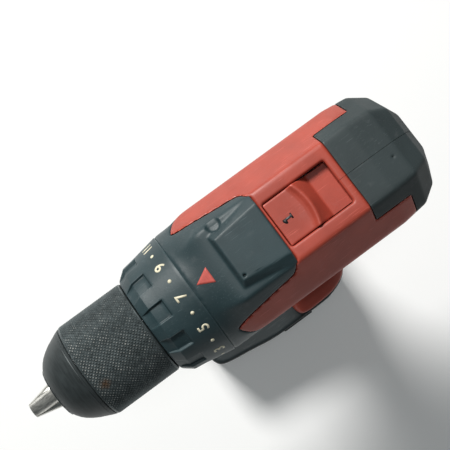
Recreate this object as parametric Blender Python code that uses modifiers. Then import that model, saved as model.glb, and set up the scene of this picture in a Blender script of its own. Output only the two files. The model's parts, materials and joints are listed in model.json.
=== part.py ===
"""Cordless drill driver, modelled as its separate pieces.

Frame: +X points forward along the spindle, +Y to the drill's left, +Z up.
The origin is on the battery's underside, 9 mm behind its centre. Sizes below are in millimetres
and are turned into metres by MM as each mesh is made.
"""

import math

import bmesh
import bpy
from mathutils import Matrix, Vector

MM = 0.001
GAP = 0.3          # left between two pieces that touch
RUN = 0.15         # radial clearance of a piece that turns or slides in another

# Heights of the main levels
AXIS_Z = 176.0     # spindle axis above the surface the drill stands on
BATTERY_TOP = 52.0
CASE_SPLIT_Z = 30.0

# Planetary gears, both stages alike
MODULE = 1.2
SUN_TEETH = 9
PLANET_TEETH = 9
RING_TEETH = SUN_TEETH + 2 * PLANET_TEETH
PRESSURE = math.radians(25)
TOOTH_THINNING = 0.45
CENTRES = MODULE * (SUN_TEETH + PLANET_TEETH) / 2
PLANETS = 3
PIN_R = 1.9
GEAR_WIDTH = 6.4
RING_RIM = 2.1
RING_R = MODULE * RING_TEETH / 2 + 1.1 * MODULE + RING_RIM
CARRIER_R = MODULE * RING_TEETH / 2 - 1.8
CARRIER_THICK = 3.0
SHIFT_TRAVEL = 9.0
SHIFT_RING_WIDTH = GEAR_WIDTH + SHIFT_TRAVEL + 0.6

# Gear case, clutch and spindle
CASE_WALL = 2.5
CASE_IN_R = RING_R + GAP
CASE_R = CASE_IN_R + CASE_WALL
SPINDLE_R = 6.0
BEARING_R = 10.9
NOSE_R = BEARING_R + 2.3
CLUTCH_PINS = 6
CLUTCH_PIN_R = 1.6
SPRING_WIRE_R = 1.1

# Barrel of the housing: flat facets with soft corners
SKIN = 1.6         # rubber and cover pieces laid over the shell
WALL = 2.0         # plastic shell under them
CASE_AIR = 1.9
SHELL_INSET = SKIN + GAP
CAVITY_INSET = SHELL_INSET + WALL
BARREL_HALF_W = CASE_R + CASE_AIR + CAVITY_INSET
BARREL_TOP = BARREL_HALF_W + 2.5
BARREL_BOTTOM = BARREL_HALF_W - 0.5
FACET_SHARPNESS = 18
SEAM_X = 39.2      # where the clutch collar meets the housing
COVER_REAR_X = 0.6
PAD_FRONT_X = -34.6
REAR_ROUND_X = -51.0
REAR_X = -71.0
BARREL_SIDES = 28

# Clutch collar
COLLAR_REAR_R = BARREL_HALF_W
COLLAR_FRONT_R = 25.2
COLLAR_WALL = 3.4
COLLAR_LENGTH = 22.4
COLLAR_FRONT_X = SEAM_X + GAP + COLLAR_LENGTH

# Keyless chuck
SLEEVE_R = 21.4
SLEEVE_WALL = 2.5
SLEEVE_LENGTH = 34.0
SLEEVE_REAR_X = COLLAR_FRONT_X + GAP
SLEEVE_FRONT_X = SLEEVE_REAR_X + SLEEVE_LENGTH
NOSE_LENGTH = 12.2
CHUCK_FRONT_X = SLEEVE_FRONT_X + GAP + NOSE_LENGTH
NOSE_FRONT_R = 14.2
JAWS = 3
JAW_R = 3.3
JAW_TIP_R = 3.1
JAW_SLOPE = math.radians(15)
JAW_OUT = 12.0     # how far the closed jaws stand out of the chuck
JAW_LENGTH = 34.0
JAW_TIP_X = CHUCK_FRONT_X + JAW_OUT
DRILL_HOLE_R = 6.6
THREAD_R = 6.35
CHUCK_NUT_WIDTH = 6.4
CHUCK_CORE_R = 13.2

# Motor
MOTOR_R = 19.0
MOTOR_WALL = 1.5
MOTOR_FRONT_X = -11.4
MOTOR_LENGTH = 38.6
SHAFT_R = 2.5
ARMATURE_R = 12.0

# Handle, trigger and controls
SLOT_FRONT_X = -0.8
SLOT_LENGTH = 30.0
SLOT_HALF_W = 10.0
PANEL_LENGTH = 20.6
TRIGGER_TRAVEL = 7.0
TRIGGER_HALF_W = 7.0
TRIGGER_TOP, TRIGGER_LOW = -38.0, -64.0
TRIGGER_BACK_X, TRIGGER_FRONT_X = -1.0, 17.0
SWITCH_FRONT_X = -11.0
SWITCH_SIZE = (16.0, 18.0, 25.0)
BUTTON_X, BUTTON_DROP = 7.5, -33.0
BUTTON_R = 3.2
BUTTON_STANDS_OUT = 2.6
LENS_R = 3.0
LENS_X = 27.0

# Battery pack and the foot it slides onto
BATTERY_FRONT_X, BATTERY_REAR_X = 54.0, -36.0
BATTERY_HALF_W = 37.0
PACK_WALL = 2.0
# the pack's outline from above, as shares of its half length and half width
PACK_PLAN = ((1.0, 0.60), (0.967, 0.78), (0.87, 0.875), (0.53, 0.94), (0.16, 1.0), (-0.47, 1.0),
             (-0.64, 0.978), (-0.82, 0.905), (-0.94, 0.78), (-1.0, 0.60))
CELL_R = 9.2
CELL_LENGTH = 65.0
CELL_PITCH = 18.3
CELLS_IN_ROWS = (3, 2)     # lower row, upper row; the cells lie along X
FOOT_FRONT_X, FOOT_REAR_X = 2.0, -34.8
FOOT_HALF_W = 35.8
FOOT_PLAN = ((1.0, 0.80), (0.93, 0.94), (0.75, 1.0), (0.2, 1.0), (-0.25, 0.975), (-0.65, 0.90),
             (-0.9, 0.78), (-1.0, 0.60))
FOOT_HEIGHT = 15.0
RAIL_HALF_W, RAIL_NECK_HALF_W = 21.2, 16.2
RAIL_LIP = 3.2
RAIL_HEIGHT = 9.0
LATCH_LENGTH, LATCH_HEIGHT = 18.0, 9.0
LATCH_X, LATCH_Z = 3.0, 41.0
LATCH_DEPTH, LATCH_STANDS_OUT = 2.0, 0.9
SCREWS = ((-60.0, -16.5), (-38.0, -24.2), (-16.0, -27.5), (-22.0, -78.0), (-12.0, -101.0))
SCREW_R = 1.5
BOSS_R = 3.2
SEAT_R = 3.0       # the screw heads' recesses
SEAT_DEPTH_Y = -11.0
HEAD_R = 2.7
VENTS, VENT_X, VENT_PITCH = 4, -26.0, 5.0

COLOURS = {
    "red_plastic": ((0.50, 0.075, 0.045), 0.5, 0.0),
    "black_plastic": ((0.028, 0.036, 0.038), 0.5, 0.0),
    "black_rubber": ((0.030, 0.036, 0.038), 0.75, 0.0),
    "dark_steel": ((0.09, 0.10, 0.10), 0.4, 1.0),
    "bright_steel": ((0.55, 0.56, 0.56), 0.3, 1.0),
    "aluminium": ((0.62, 0.63, 0.64), 0.45, 1.0),
    "copper_windings": ((0.62, 0.30, 0.14), 0.4, 1.0),
    "clear_lens": ((0.85, 0.87, 0.88), 0.1, 0.0),
    "cell_wrap": ((0.05, 0.22, 0.38), 0.45, 0.0),
    "grey_plastic": ((0.18, 0.19, 0.20), 0.55, 0.0),
}


# ---------------------------------------------------------------- making meshes

def clear_scene():
    for obj in list(bpy.data.objects):
        bpy.data.objects.remove(obj)


def collection(name):
    made = bpy.data.collections.new(name)
    bpy.context.scene.collection.children.link(made)
    return made


def material(name):
    found = bpy.data.materials.get(name)
    if found:
        return found
    colour, roughness, metallic = COLOURS[name]
    made = bpy.data.materials.new(name)
    made.use_nodes = True
    shader = made.node_tree.nodes["Principled BSDF"]
    shader.inputs["Base Color"].default_value = (*colour, 1)
    shader.inputs["Roughness"].default_value = roughness
    shader.inputs["Metallic"].default_value = metallic
    made.diffuse_color = (*colour, 1)
    return made


def new_object(name, mesh, at=(0, 0, 0)):
    """An object whose origin is at a point given in millimetres."""
    obj = bpy.data.objects.new(name, mesh)
    obj.location = Vector(at) * MM
    bpy.data.collections["cordless_drill"].objects.link(obj)
    bpy.context.view_layer.update()
    return obj


def from_bmesh(name, bm):
    mesh = bpy.data.meshes.new(name)
    bmesh.ops.recalc_face_normals(bm, faces=bm.faces)
    bm.to_mesh(mesh)
    bm.free()
    return new_object(name, mesh)


def box(name, low, high):
    bm = bmesh.new()
    size = [b - a for a, b in zip(low, high)]
    middle = [(a + b) / 2 for a, b in zip(low, high)]
    place = Matrix.Translation(Vector(middle) * MM) @ Matrix.Diagonal((*[s * MM for s in size], 1))
    bmesh.ops.create_cube(bm, size=1, matrix=place)
    return from_bmesh(name, bm)


def rod(name, start, end, radius, sides=16):
    """A cylinder between two points."""
    start, end = Vector(start) * MM, Vector(end) * MM
    along = end - start
    bm = bmesh.new()
    place = Matrix.Translation((start + end) / 2) @ along.to_track_quat("Z", "Y").to_matrix().to_4x4()
    bmesh.ops.create_cone(
        bm, cap_ends=True, segments=sides, radius1=radius * MM, radius2=radius * MM,
        depth=along.length, matrix=place,
    )
    return from_bmesh(name, bm)


def on_axis(x, y=0.0, z=0.0):
    """A point given from the spindle axis."""
    return (x, y, AXIS_Z + z)


def turned(name, outline, sides=32):
    """Turns an outline of (x, radius) points about the spindle axis."""
    area = sum(a[0] * b[1] - b[0] * a[1] for a, b in zip(outline, outline[1:] + outline[:1]))
    points = outline if area > 0 else outline[::-1]
    on_centre = [i for i, p in enumerate(points) if p[1] == 0]
    closed = not on_centre
    if on_centre:
        first = next(i for i in on_centre if (i - 1) % len(points) in on_centre)
        points = points[first:] + points[:first]
    mesh = bpy.data.meshes.new(name)
    edges = [(i, i + 1) for i in range(len(points) - 1)] + ([(len(points) - 1, 0)] if closed else [])
    mesh.from_pydata([(x * MM, 0, r * MM) for x, r in points], edges, [])
    obj = new_object(name, mesh, on_axis(0))
    screw = obj.modifiers.new("turn", "SCREW")
    screw.axis = "X"
    screw.steps = screw.render_steps = sides
    screw.use_merge_vertices = True
    screw.merge_threshold = 0.00001
    return obj


def loft(name, rings):
    """A closed solid through rings that hold the same number of points."""
    bm = bmesh.new()
    rows = [[bm.verts.new(Vector(p) * MM) for p in ring] for ring in rings]
    count = len(rows[0])
    for low, high in zip(rows, rows[1:]):
        for i in range(count):
            j = (i + 1) % count
            bm.faces.new((low[i], low[j], high[j], high[i]))
    bm.faces.new(rows[0][::-1])
    bm.faces.new(rows[-1])
    bmesh.ops.triangulate(bm, faces=bm.faces)
    return from_bmesh(name, bm)


def welded_mesh(obj, name):
    """A mesh object made from a curve, with its caps welded on."""
    graph = bpy.context.evaluated_depsgraph_get()
    mesh = bpy.data.meshes.new_from_object(obj.evaluated_get(graph))
    bm = bmesh.new()
    bm.from_mesh(mesh)
    bmesh.ops.remove_doubles(bm, verts=bm.verts, dist=0.000005)
    bmesh.ops.recalc_face_normals(bm, faces=bm.faces)
    bm.to_mesh(mesh)
    bm.free()
    made = new_object(name, mesh)
    made.matrix_world = obj.matrix_world
    bpy.data.objects.remove(obj)
    made.name = name
    return made


def extruded(name, outlines, x_start, x_end, centre=(0.0, 0.0)):
    """Flat outlines of (y, z) points, the later ones holes, drawn out along X."""
    curve = bpy.data.curves.new(name, "CURVE")
    curve.dimensions = "2D"
    curve.fill_mode = "BOTH"
    curve.extrude = (x_end - x_start) / 2 * MM
    for outline in outlines:
        spline = curve.splines.new("POLY")
        spline.points.add(len(outline) - 1)
        for point, (y, z) in zip(spline.points, outline):
            point.co = (y * MM, z * MM, 0, 1)
        spline.use_cyclic_u = True
    obj = new_object(name + "_curve", curve)
    turn = Matrix(((0, 0, 1, 0), (1, 0, 0, 0), (0, 1, 0, 0), (0, 0, 0, 1)))
    middle = Vector(on_axis((x_start + x_end) / 2, *centre)) * MM
    obj.matrix_world = Matrix.Translation(middle) @ turn
    bpy.context.view_layer.update()
    return welded_mesh(obj, name)


def coil(name, start_x, end_x, radius, wire, turns, centre=(0.0, 0.0)):
    """A compression spring along X: its wire is a tube on a helix."""
    steps = int(turns * 9)
    curve = bpy.data.curves.new(name, "CURVE")
    curve.dimensions = "3D"
    curve.bevel_depth = wire * MM
    curve.bevel_resolution = 2
    curve.use_fill_caps = True
    spline = curve.splines.new("POLY")
    spline.points.add(steps)
    for i, point in enumerate(spline.points):
        share = i / steps
        angle = 2 * math.pi * turns * share
        x = start_x + wire + (end_x - start_x - 2 * wire) * share
        y, z = radius * math.cos(angle), radius * math.sin(angle)
        point.co = (*(Vector(on_axis(x, centre[0] + y, centre[1] + z)) * MM), 1)
    return welded_mesh(new_object(name + "_curve", curve), name)


# ------------------------------------------------------------- joining and cutting

def as_tool(obj):
    """Puts a helper solid aside, so that it is no piece of the drill."""
    for home in list(obj.users_collection):
        home.objects.unlink(obj)
    bpy.data.collections["cutters"].objects.link(obj)
    obj.hide_render = True
    obj.display_type = "WIRE"
    return obj


# for the housing's thin layers, whose nearly parallel surfaces the exact solver can't always close
THIN_SOLVER = "MANIFOLD"


def combine(obj, operation, tools, solver="EXACT"):
    for tool in tools:
        as_tool(tool)
        step = obj.modifiers.new(operation.lower(), "BOOLEAN")
        step.operation = operation
        step.solver = solver
        step.object = tool
    return obj


def cut(obj, *tools, solver="EXACT"):
    return combine(obj, "DIFFERENCE", tools, solver)


def join(obj, *tools, solver="EXACT"):
    return combine(obj, "UNION", tools, solver)


def keep_inside(obj, *tools, solver="EXACT"):
    return combine(obj, "INTERSECT", tools, solver)


def applied(obj):
    """The same object with its modifiers turned into plain mesh."""
    bpy.context.view_layer.update()
    graph = bpy.context.evaluated_depsgraph_get()
    mesh = bpy.data.meshes.new_from_object(obj.evaluated_get(graph))
    obj.modifiers.clear()
    obj.data = mesh
    return obj


def copy_of(obj, name):
    made = new_object(name, obj.data.copy())
    made.matrix_world = obj.matrix_world
    return made


def piece(obj, colour, pivot=None):
    """Finishes a piece: its material, its shading, and its origin on its joint's axis."""
    applied(obj)
    if pivot is not None:
        shift = Vector(pivot) * MM - obj.matrix_world.translation
        obj.data.transform(Matrix.Translation(-(obj.matrix_world.to_3x3().inverted() @ shift)))
        obj.matrix_world.translation = Vector(pivot) * MM
    obj.data.materials.clear()
    obj.data.materials.append(material(colour))
    obj.data.shade_smooth()
    obj.data.set_sharp_from_angle(angle=math.radians(35))
    return obj


# ------------------------------------------------------------------ housing shapes

def smooth_polygon(angle, facets):
    """Radius at an angle of a polygon given by its facets (direction in degrees, distance)."""
    total = sum(
        max(0.0, math.cos(angle - math.radians(way)) / distance) ** FACET_SHARPNESS
        for way, distance in facets
    )
    return total ** (-1 / FACET_SHARPNESS)


def ease(value, start, end):
    t = min(1.0, max(0.0, (value - start) / (end - start)))
    return t * t * (3 - 2 * t)


def barrel_radius(x, angle):
    """Outer radius of the barrel; angle 0 is the left side, 90 degrees the top."""
    low_bulge = 1.8 * ease(x, 2, 14) * (1 - ease(x, 20, 34))
    facets = [
        (90, BARREL_TOP), (-90, BARREL_BOTTOM), (0, BARREL_HALF_W), (180, BARREL_HALF_W),
        (36.3, BARREL_HALF_W + 2.75), (143.7, BARREL_HALF_W + 2.75),
        (-34.8, BARREL_HALF_W + 0.6 + low_bulge), (-145.2, BARREL_HALF_W + 0.6 + low_bulge),
    ]
    faceted = smooth_polygon(angle, facets)
    return faceted + (BARREL_HALF_W - faceted) * ease(x, 24, SEAM_X)


def barrel_rings(inset):
    """Sections of the barrel, pulled in by inset; an inset barrel runs out past the front."""
    front = SEAM_X + (3 + inset if inset else 0)
    stations = [(x, 1.0) for x in (front, 31, 24, 14, 4, -14, REAR_ROUND_X)]
    depth = REAR_ROUND_X - REAR_X - inset
    for degrees in (25, 47, 65, 78):
        turn = math.radians(degrees)
        stations.append((REAR_ROUND_X - depth * math.sin(turn), math.cos(turn) ** 0.9))
    rings = []
    for x, share in stations:
        ring = []
        for i in range(BARREL_SIDES):
            angle = 2 * math.pi * i / BARREL_SIDES
            radius = (barrel_radius(min(x, SEAM_X), angle) - inset) * share
            ring.append(on_axis(x, radius * math.cos(angle), radius * math.sin(angle)))
        rings.append(ring)
    return rings


def oval(x, z, half_x, half_y, power=2.6, count=20):
    ring = []
    for i in range(count):
        angle = 2 * math.pi * i / count
        c, s = math.cos(angle), math.sin(angle)
        radius = (abs(c / half_x) ** power + abs(s / half_y) ** power) ** (-1 / power)
        ring.append(on_axis(x + radius * c, radius * s, z))
    return ring


FOOT_BOTTOM = BATTERY_TOP + GAP - AXIS_Z      # from the spindle axis
HANDLE_LOW = FOOT_BOTTOM + FOOT_HEIGHT
FOOT_X = (FOOT_FRONT_X + FOOT_REAR_X) / 2
FOOT_HALF_L = (FOOT_FRONT_X - FOOT_REAR_X) / 2


def handle_rings(inset):
    """Sections of the handle from inside the barrel down to the foot."""
    top = -14.0
    rows = [
        (top, -11, 27, 20), (-30, -10, 25, 18), (-37, -12, 22, 17), (-50, -16, 19.5, 16.5),
        (-75, -15.8, 19.2, 17.2), (-98, -15, 17.8, 16.5), (HANDLE_LOW, -15.5, 18.2, 17),
        (HANDLE_LOW - 3, -16, 17.5, 16.5),
    ]
    return [oval(x, z, hl - inset, hw - inset) for z, x, hl, hw in rows]


def plan_ring(plan, x, z, half_x, half_y):
    """A level ring of points from one side of an outline, given in shares, and its mirror image."""
    side = [on_axis(x + half_x * sx, half_y * sy, z) for sx, sy in plan]
    return side + [(px, -py, pz) for px, py, pz in reversed(side)]


def foot_rings(inset):
    """Sections of the foot that spreads from the handle onto the battery."""
    roof = FOOT_BOTTOM + FOOT_HEIGHT + 4
    rows = [
        (roof - inset, FOOT_X, 15, 14), (roof - 5 - inset, FOOT_X, FOOT_HALF_L - 1, 20),
        (FOOT_BOTTOM + 9 - inset / 2, FOOT_X, FOOT_HALF_L - 0.5, FOOT_HALF_W - 5),
        (FOOT_BOTTOM + 5.5, FOOT_X, FOOT_HALF_L, FOOT_HALF_W),
        (FOOT_BOTTOM + inset, FOOT_X, FOOT_HALF_L, FOOT_HALF_W),
    ]
    return [plan_ring(FOOT_PLAN, x, z, hl - inset, hw - inset) for z, x, hl, hw in rows]


def body_solid(name, inset):
    """The whole housing as one solid, pulled in by inset from its outer surface."""
    whole = loft(name, barrel_rings(inset))
    parts = loft(name + "_handle", handle_rings(inset)), loft(name + "_foot", foot_rings(inset))
    join(whole, *parts, solver=THIN_SOLVER)
    return applied(whole)


LOBE_FRONT_X, LOBE_TOP = 19.0, -16.0     # where the grip's upper lobe ends under the cover
ARM_INNER_Y = 21.5                       # the red arms run forward outside this
PAD_HALF_W = 22.0                        # the rear pads' band on the top


def front_region(grow):
    """Where the front cover lies: all round the barrel's front, less the two red arms."""
    region = box("front_region", on_axis(COVER_REAR_X - grow, -60, LOBE_TOP), on_axis(SEAM_X + 2, 60, 60))
    join(region, box("front_low", on_axis(LOBE_FRONT_X + GAP - grow, -61, -61), on_axis(SEAM_X + 1, 61, 0)))
    arms = []
    for side in (-1, 1):
        inner, outer = ARM_INNER_Y + grow, 60.0
        rows = [(COVER_REAR_X - 5, -12 + grow, 26 - grow), (24, -10 + grow, 21 - grow),
                (SEAM_X - 5 - grow, -3 + grow, 14 - grow)]
        rings = [
            [on_axis(x, side * inner, low), on_axis(x, side * outer, low),
             on_axis(x, side * outer, high), on_axis(x, side * inner, high)]
            for x, low, high in rows
        ]
        arms.append(loft("arm_region", rings))
    return cut(region, *arms)


def rear_region(grow):
    """Where the rear pads lie: a band on the top, then all of the rounded rear end."""
    top = box("rear_region", on_axis(REAR_X - 5, -PAD_HALF_W - grow, 2 - grow),
              on_axis(PAD_FRONT_X + grow, PAD_HALF_W + grow, 60))
    end = box("rear_end", on_axis(REAR_X - 6, -60, -14 - grow), on_axis(REAR_ROUND_X - 1 + grow, 60, 61))
    return join(top, end)


def grip_region(grow):
    """Where the grip lies: the handle's sides and back, and a lobe below each arm."""
    low = box("grip_region", on_axis(-60, -60, FOOT_BOTTOM + 21 - grow), on_axis(1.5 + grow, 60, -32 + grow))
    front = box("grip_front", on_axis(0, -61, FOOT_BOTTOM + 21.5 - grow), on_axis(40, 61, TRIGGER_LOW - 4 + grow))
    lobe = box("grip_lobe", on_axis(-4 - grow, -62, -36 - grow),
               on_axis(LOBE_FRONT_X + grow, 62, LOBE_TOP - GAP + grow))
    return join(low, front, lobe)


def half_space(name, side):
    near, far = side * GAP / 2, side * 80.0
    return box(name, on_axis(-120, min(near, far), -200), on_axis(120, max(near, far), 80))


def skin(name, region, outer, inner):
    """A cover piece: the layer between the outer surface and the shell, inside a region."""
    made = copy_of(outer, name)
    keep_inside(made, applied(region), solver=THIN_SOLVER)
    return cut(made, inner, solver=THIN_SOLVER)


def make_housing():
    outer = body_solid("body_outer", 0)
    under = body_solid("body_under_skin", SKIN)
    shell = body_solid("body_shell", SHELL_INSET)
    cavity = body_solid("body_cavity", CAVITY_INSET)

    selector_slot = box(
        "selector_slot", on_axis(SLOT_FRONT_X - SLOT_LENGTH, -SLOT_HALF_W, 20),
        on_axis(SLOT_FRONT_X, SLOT_HALF_W, 60),
    )
    trigger_slot = box(
        "trigger_slot", on_axis(-6, -TRIGGER_HALF_W - GAP, TRIGGER_LOW - GAP),
        on_axis(40, TRIGGER_HALF_W + GAP, TRIGGER_TOP + GAP),
    )
    button_hole = rod("button_hole", on_axis(BUTTON_X, -60, BUTTON_DROP),
                      on_axis(BUTTON_X, 60, BUTTON_DROP), BUTTON_R + GAP, 20)
    rail_slot = rail_solid("rail_slot", GAP)

    whole = copy_of(outer, "housing")
    regions = front_region(GAP), rear_region(GAP), grip_region(GAP)
    cut(whole, *[applied(region) for region in regions], solver=THIN_SOLVER)
    join(whole, copy_of(shell, "shell"), solver=THIN_SOLVER)
    cut(whole, cavity, solver=THIN_SOLVER)
    bosses = [
        rod(f"boss_{i}", on_axis(x, -16 if z < -60 else -23, z), on_axis(x, 16 if z < -60 else 23, z), BOSS_R, 12)
        for i, (x, z) in enumerate(SCREWS)
    ]
    for boss in bosses:
        join(whole, applied(keep_inside(boss, copy_of(shell, "boss_limit"))), solver=THIN_SOLVER)
    as_tool(shell)
    cut(whole, selector_slot, trigger_slot, button_hole, applied(rail_slot), solver=THIN_SOLVER)
    for x, z in SCREWS:
        hole = rod("screw_hole", on_axis(x, -80, z), on_axis(x, 9, z), SCREW_R + RUN, 10)
        seat = rod("screw_seat", on_axis(x, -80, z), on_axis(x, SEAT_DEPTH_Y, z), SEAT_R, 10)
        cut(whole, hole, seat, solver=THIN_SOLVER)
    for i in range(VENTS):
        x = VENT_X - VENT_PITCH * i
        for side in (-1, 1):
            low, high = sorted((side * 20, side * 60))
            vent = box("vent", on_axis(x - 1.2, low, -8), on_axis(x + 1.2, high, 8))
            cut(whole, vent, solver=THIN_SOLVER)
    open_front = box("open_front", on_axis(SEAM_X - 1.2, -60, -60), on_axis(SEAM_X + 20, 60, 60))
    lens_hole = rod("lens_hole", on_axis(LENS_X, 0, -20), on_axis(LENS_X, 0, -40), LENS_R + RUN, 16)
    cut(whole, open_front, lens_hole, solver=THIN_SOLVER)
    applied(whole)
    for side, name in ((1, "left"), (-1, "right")):
        half = copy_of(whole, f"housing_{name}")
        keep_inside(half, half_space("half_space", side), solver=THIN_SOLVER)
        piece(half, "red_plastic")
    as_tool(whole)

    hump = loft("hump", [
        [on_axis(x, y, z) for x, y in ((COVER_REAR_X - 0.1, -w), (front, -w), (front, w), (COVER_REAR_X - 0.1, w))]
        for z, w, front in ((BARREL_TOP - SKIN + GAP, 15.5, 23.0), (BARREL_TOP + 0.2, 14.0, 22.8),
                            (BARREL_TOP + 2.6, 11.3, 22.0))
    ])
    cover = skin("front_cover", front_region(0), outer, under)
    join(cover, hump)
    cut(cover, copy_of(lens_hole, "cover_lens_hole"), copy_of(selector_slot, "cover_slot"))
    piece(cover, "black_plastic")

    for side, name in ((1, "left"), (-1, "right")):
        pad = skin(f"rear_pad_{name}", rear_region(0), outer, under)
        keep_inside(pad, half_space("half_space", side), solver=THIN_SOLVER)
        piece(pad, "black_rubber")
        grip = skin(f"grip_{name}", grip_region(0), outer, under)
        keep_inside(grip, half_space("half_space", side), solver=THIN_SOLVER)
        cut(grip, copy_of(button_hole, "grip_button_hole"), copy_of(trigger_slot, "grip_slot"), solver=THIN_SOLVER)
        for x, z in SCREWS:
            hole = rod("grip_screw_hole", on_axis(x, -80, z), on_axis(x, 0, z), SEAT_R, 10)
            cut(grip, hole, solver=THIN_SOLVER)
        piece(grip, "black_rubber")
    as_tool(outer)
    for i, (x, z) in enumerate(SCREWS, 1):
        # the head lies at the bottom of its seat, the shank runs into the left half's boss
        head = rod(f"housing_screw_{i}", on_axis(x, SEAT_DEPTH_Y - 2.5, z),
                   on_axis(x, SEAT_DEPTH_Y - 0.2, z), HEAD_R, 12)
        shank = rod("shank", on_axis(x, -11.5, z), on_axis(x, 7.5, z), SCREW_R - 0.1, 12)
        piece(join(head, shank), "dark_steel")
    lens = rod("led_lens", on_axis(LENS_X, 0, -BARREL_BOTTOM - 0.2),
               on_axis(LENS_X, 0, -BARREL_BOTTOM + CAVITY_INSET), LENS_R, 16)
    piece(lens, "clear_lens")


# ---------------------------------------------------------------------------- gears

def involute(angle):
    return math.tan(angle) - angle


def tooth_outline(teeth, turn, radii, outward):
    """Gear outline: each tooth's half angle at each radius comes from the involute."""
    pitch = MODULE * teeth / 2
    base = pitch * math.cos(PRESSURE)
    half_at_pitch = (math.pi * MODULE / 2 - TOOTH_THINNING) / (2 * pitch)

    def half(radius):
        lean = involute(PRESSURE) - involute(math.acos(min(1, base / max(radius, base))))
        return half_at_pitch + (lean if outward else -lean)

    points = []
    for k in range(teeth):
        middle = turn + 2 * math.pi * k / teeth
        flank = [(radius, half(radius)) for radius in radii]
        for radius, h in flank:
            points.append((radius * math.cos(middle - h), radius * math.sin(middle - h)))
        for radius, h in reversed(flank):
            points.append((radius * math.cos(middle + h), radius * math.sin(middle + h)))
    return points


def circle(radius, count):
    return [
        (radius * math.cos(2 * math.pi * i / count), radius * math.sin(2 * math.pi * i / count))
        for i in range(count)
    ]


def spur(name, teeth, turn, x_start, x_end, bore=0.0, centre=(0.0, 0.0)):
    pitch = MODULE * teeth / 2
    radii = (pitch - 1.05 * MODULE, pitch, pitch + 0.75 * MODULE)
    outlines = [tooth_outline(teeth, turn, radii, True)]
    if bore:
        outlines.append(circle(bore, 12))
    return extruded(name, outlines, x_start, x_end, centre)


def ring_gear(name, x_start, x_end, outer):
    pitch = MODULE * RING_TEETH / 2
    radii = (pitch + 1.1 * MODULE, pitch - 0.7 * MODULE)
    inner = tooth_outline(RING_TEETH, math.pi / RING_TEETH, radii, False)
    return extruded(name, [circle(outer, 32), inner], x_start, x_end)


def planet_places():
    for k in range(PLANETS):
        angle = 2 * math.pi * k / PLANETS
        yield k + 1, angle, (CENTRES * math.cos(angle), CENTRES * math.sin(angle))


# where each stage lies along the spindle
STAGE_1_X = 0.0
CARRIER_1_X = STAGE_1_X + GEAR_WIDTH + GAP
SUN_2_X = CARRIER_1_X + CARRIER_THICK
STAGE_2_X = STAGE_1_X - 0.5 + SHIFT_RING_WIDTH + 1.8
CARRIER_2_X = STAGE_2_X + GEAR_WIDTH + GAP
CASE_FRONT_WALL_X = CARRIER_2_X + CARRIER_THICK + 1.2
CASE_STEP_X = CASE_FRONT_WALL_X + 3.5
NOSE_END_X = COLLAR_FRONT_X - 4.3
BEARING_WIDTH = 6.0


def pins(name, x_start, x_end):
    return [
        rod(f"{name}_{k}", on_axis(x_start, *centre), on_axis(x_end, *centre), PIN_R, 12)
        for k, _, centre in planet_places()
    ]


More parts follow.
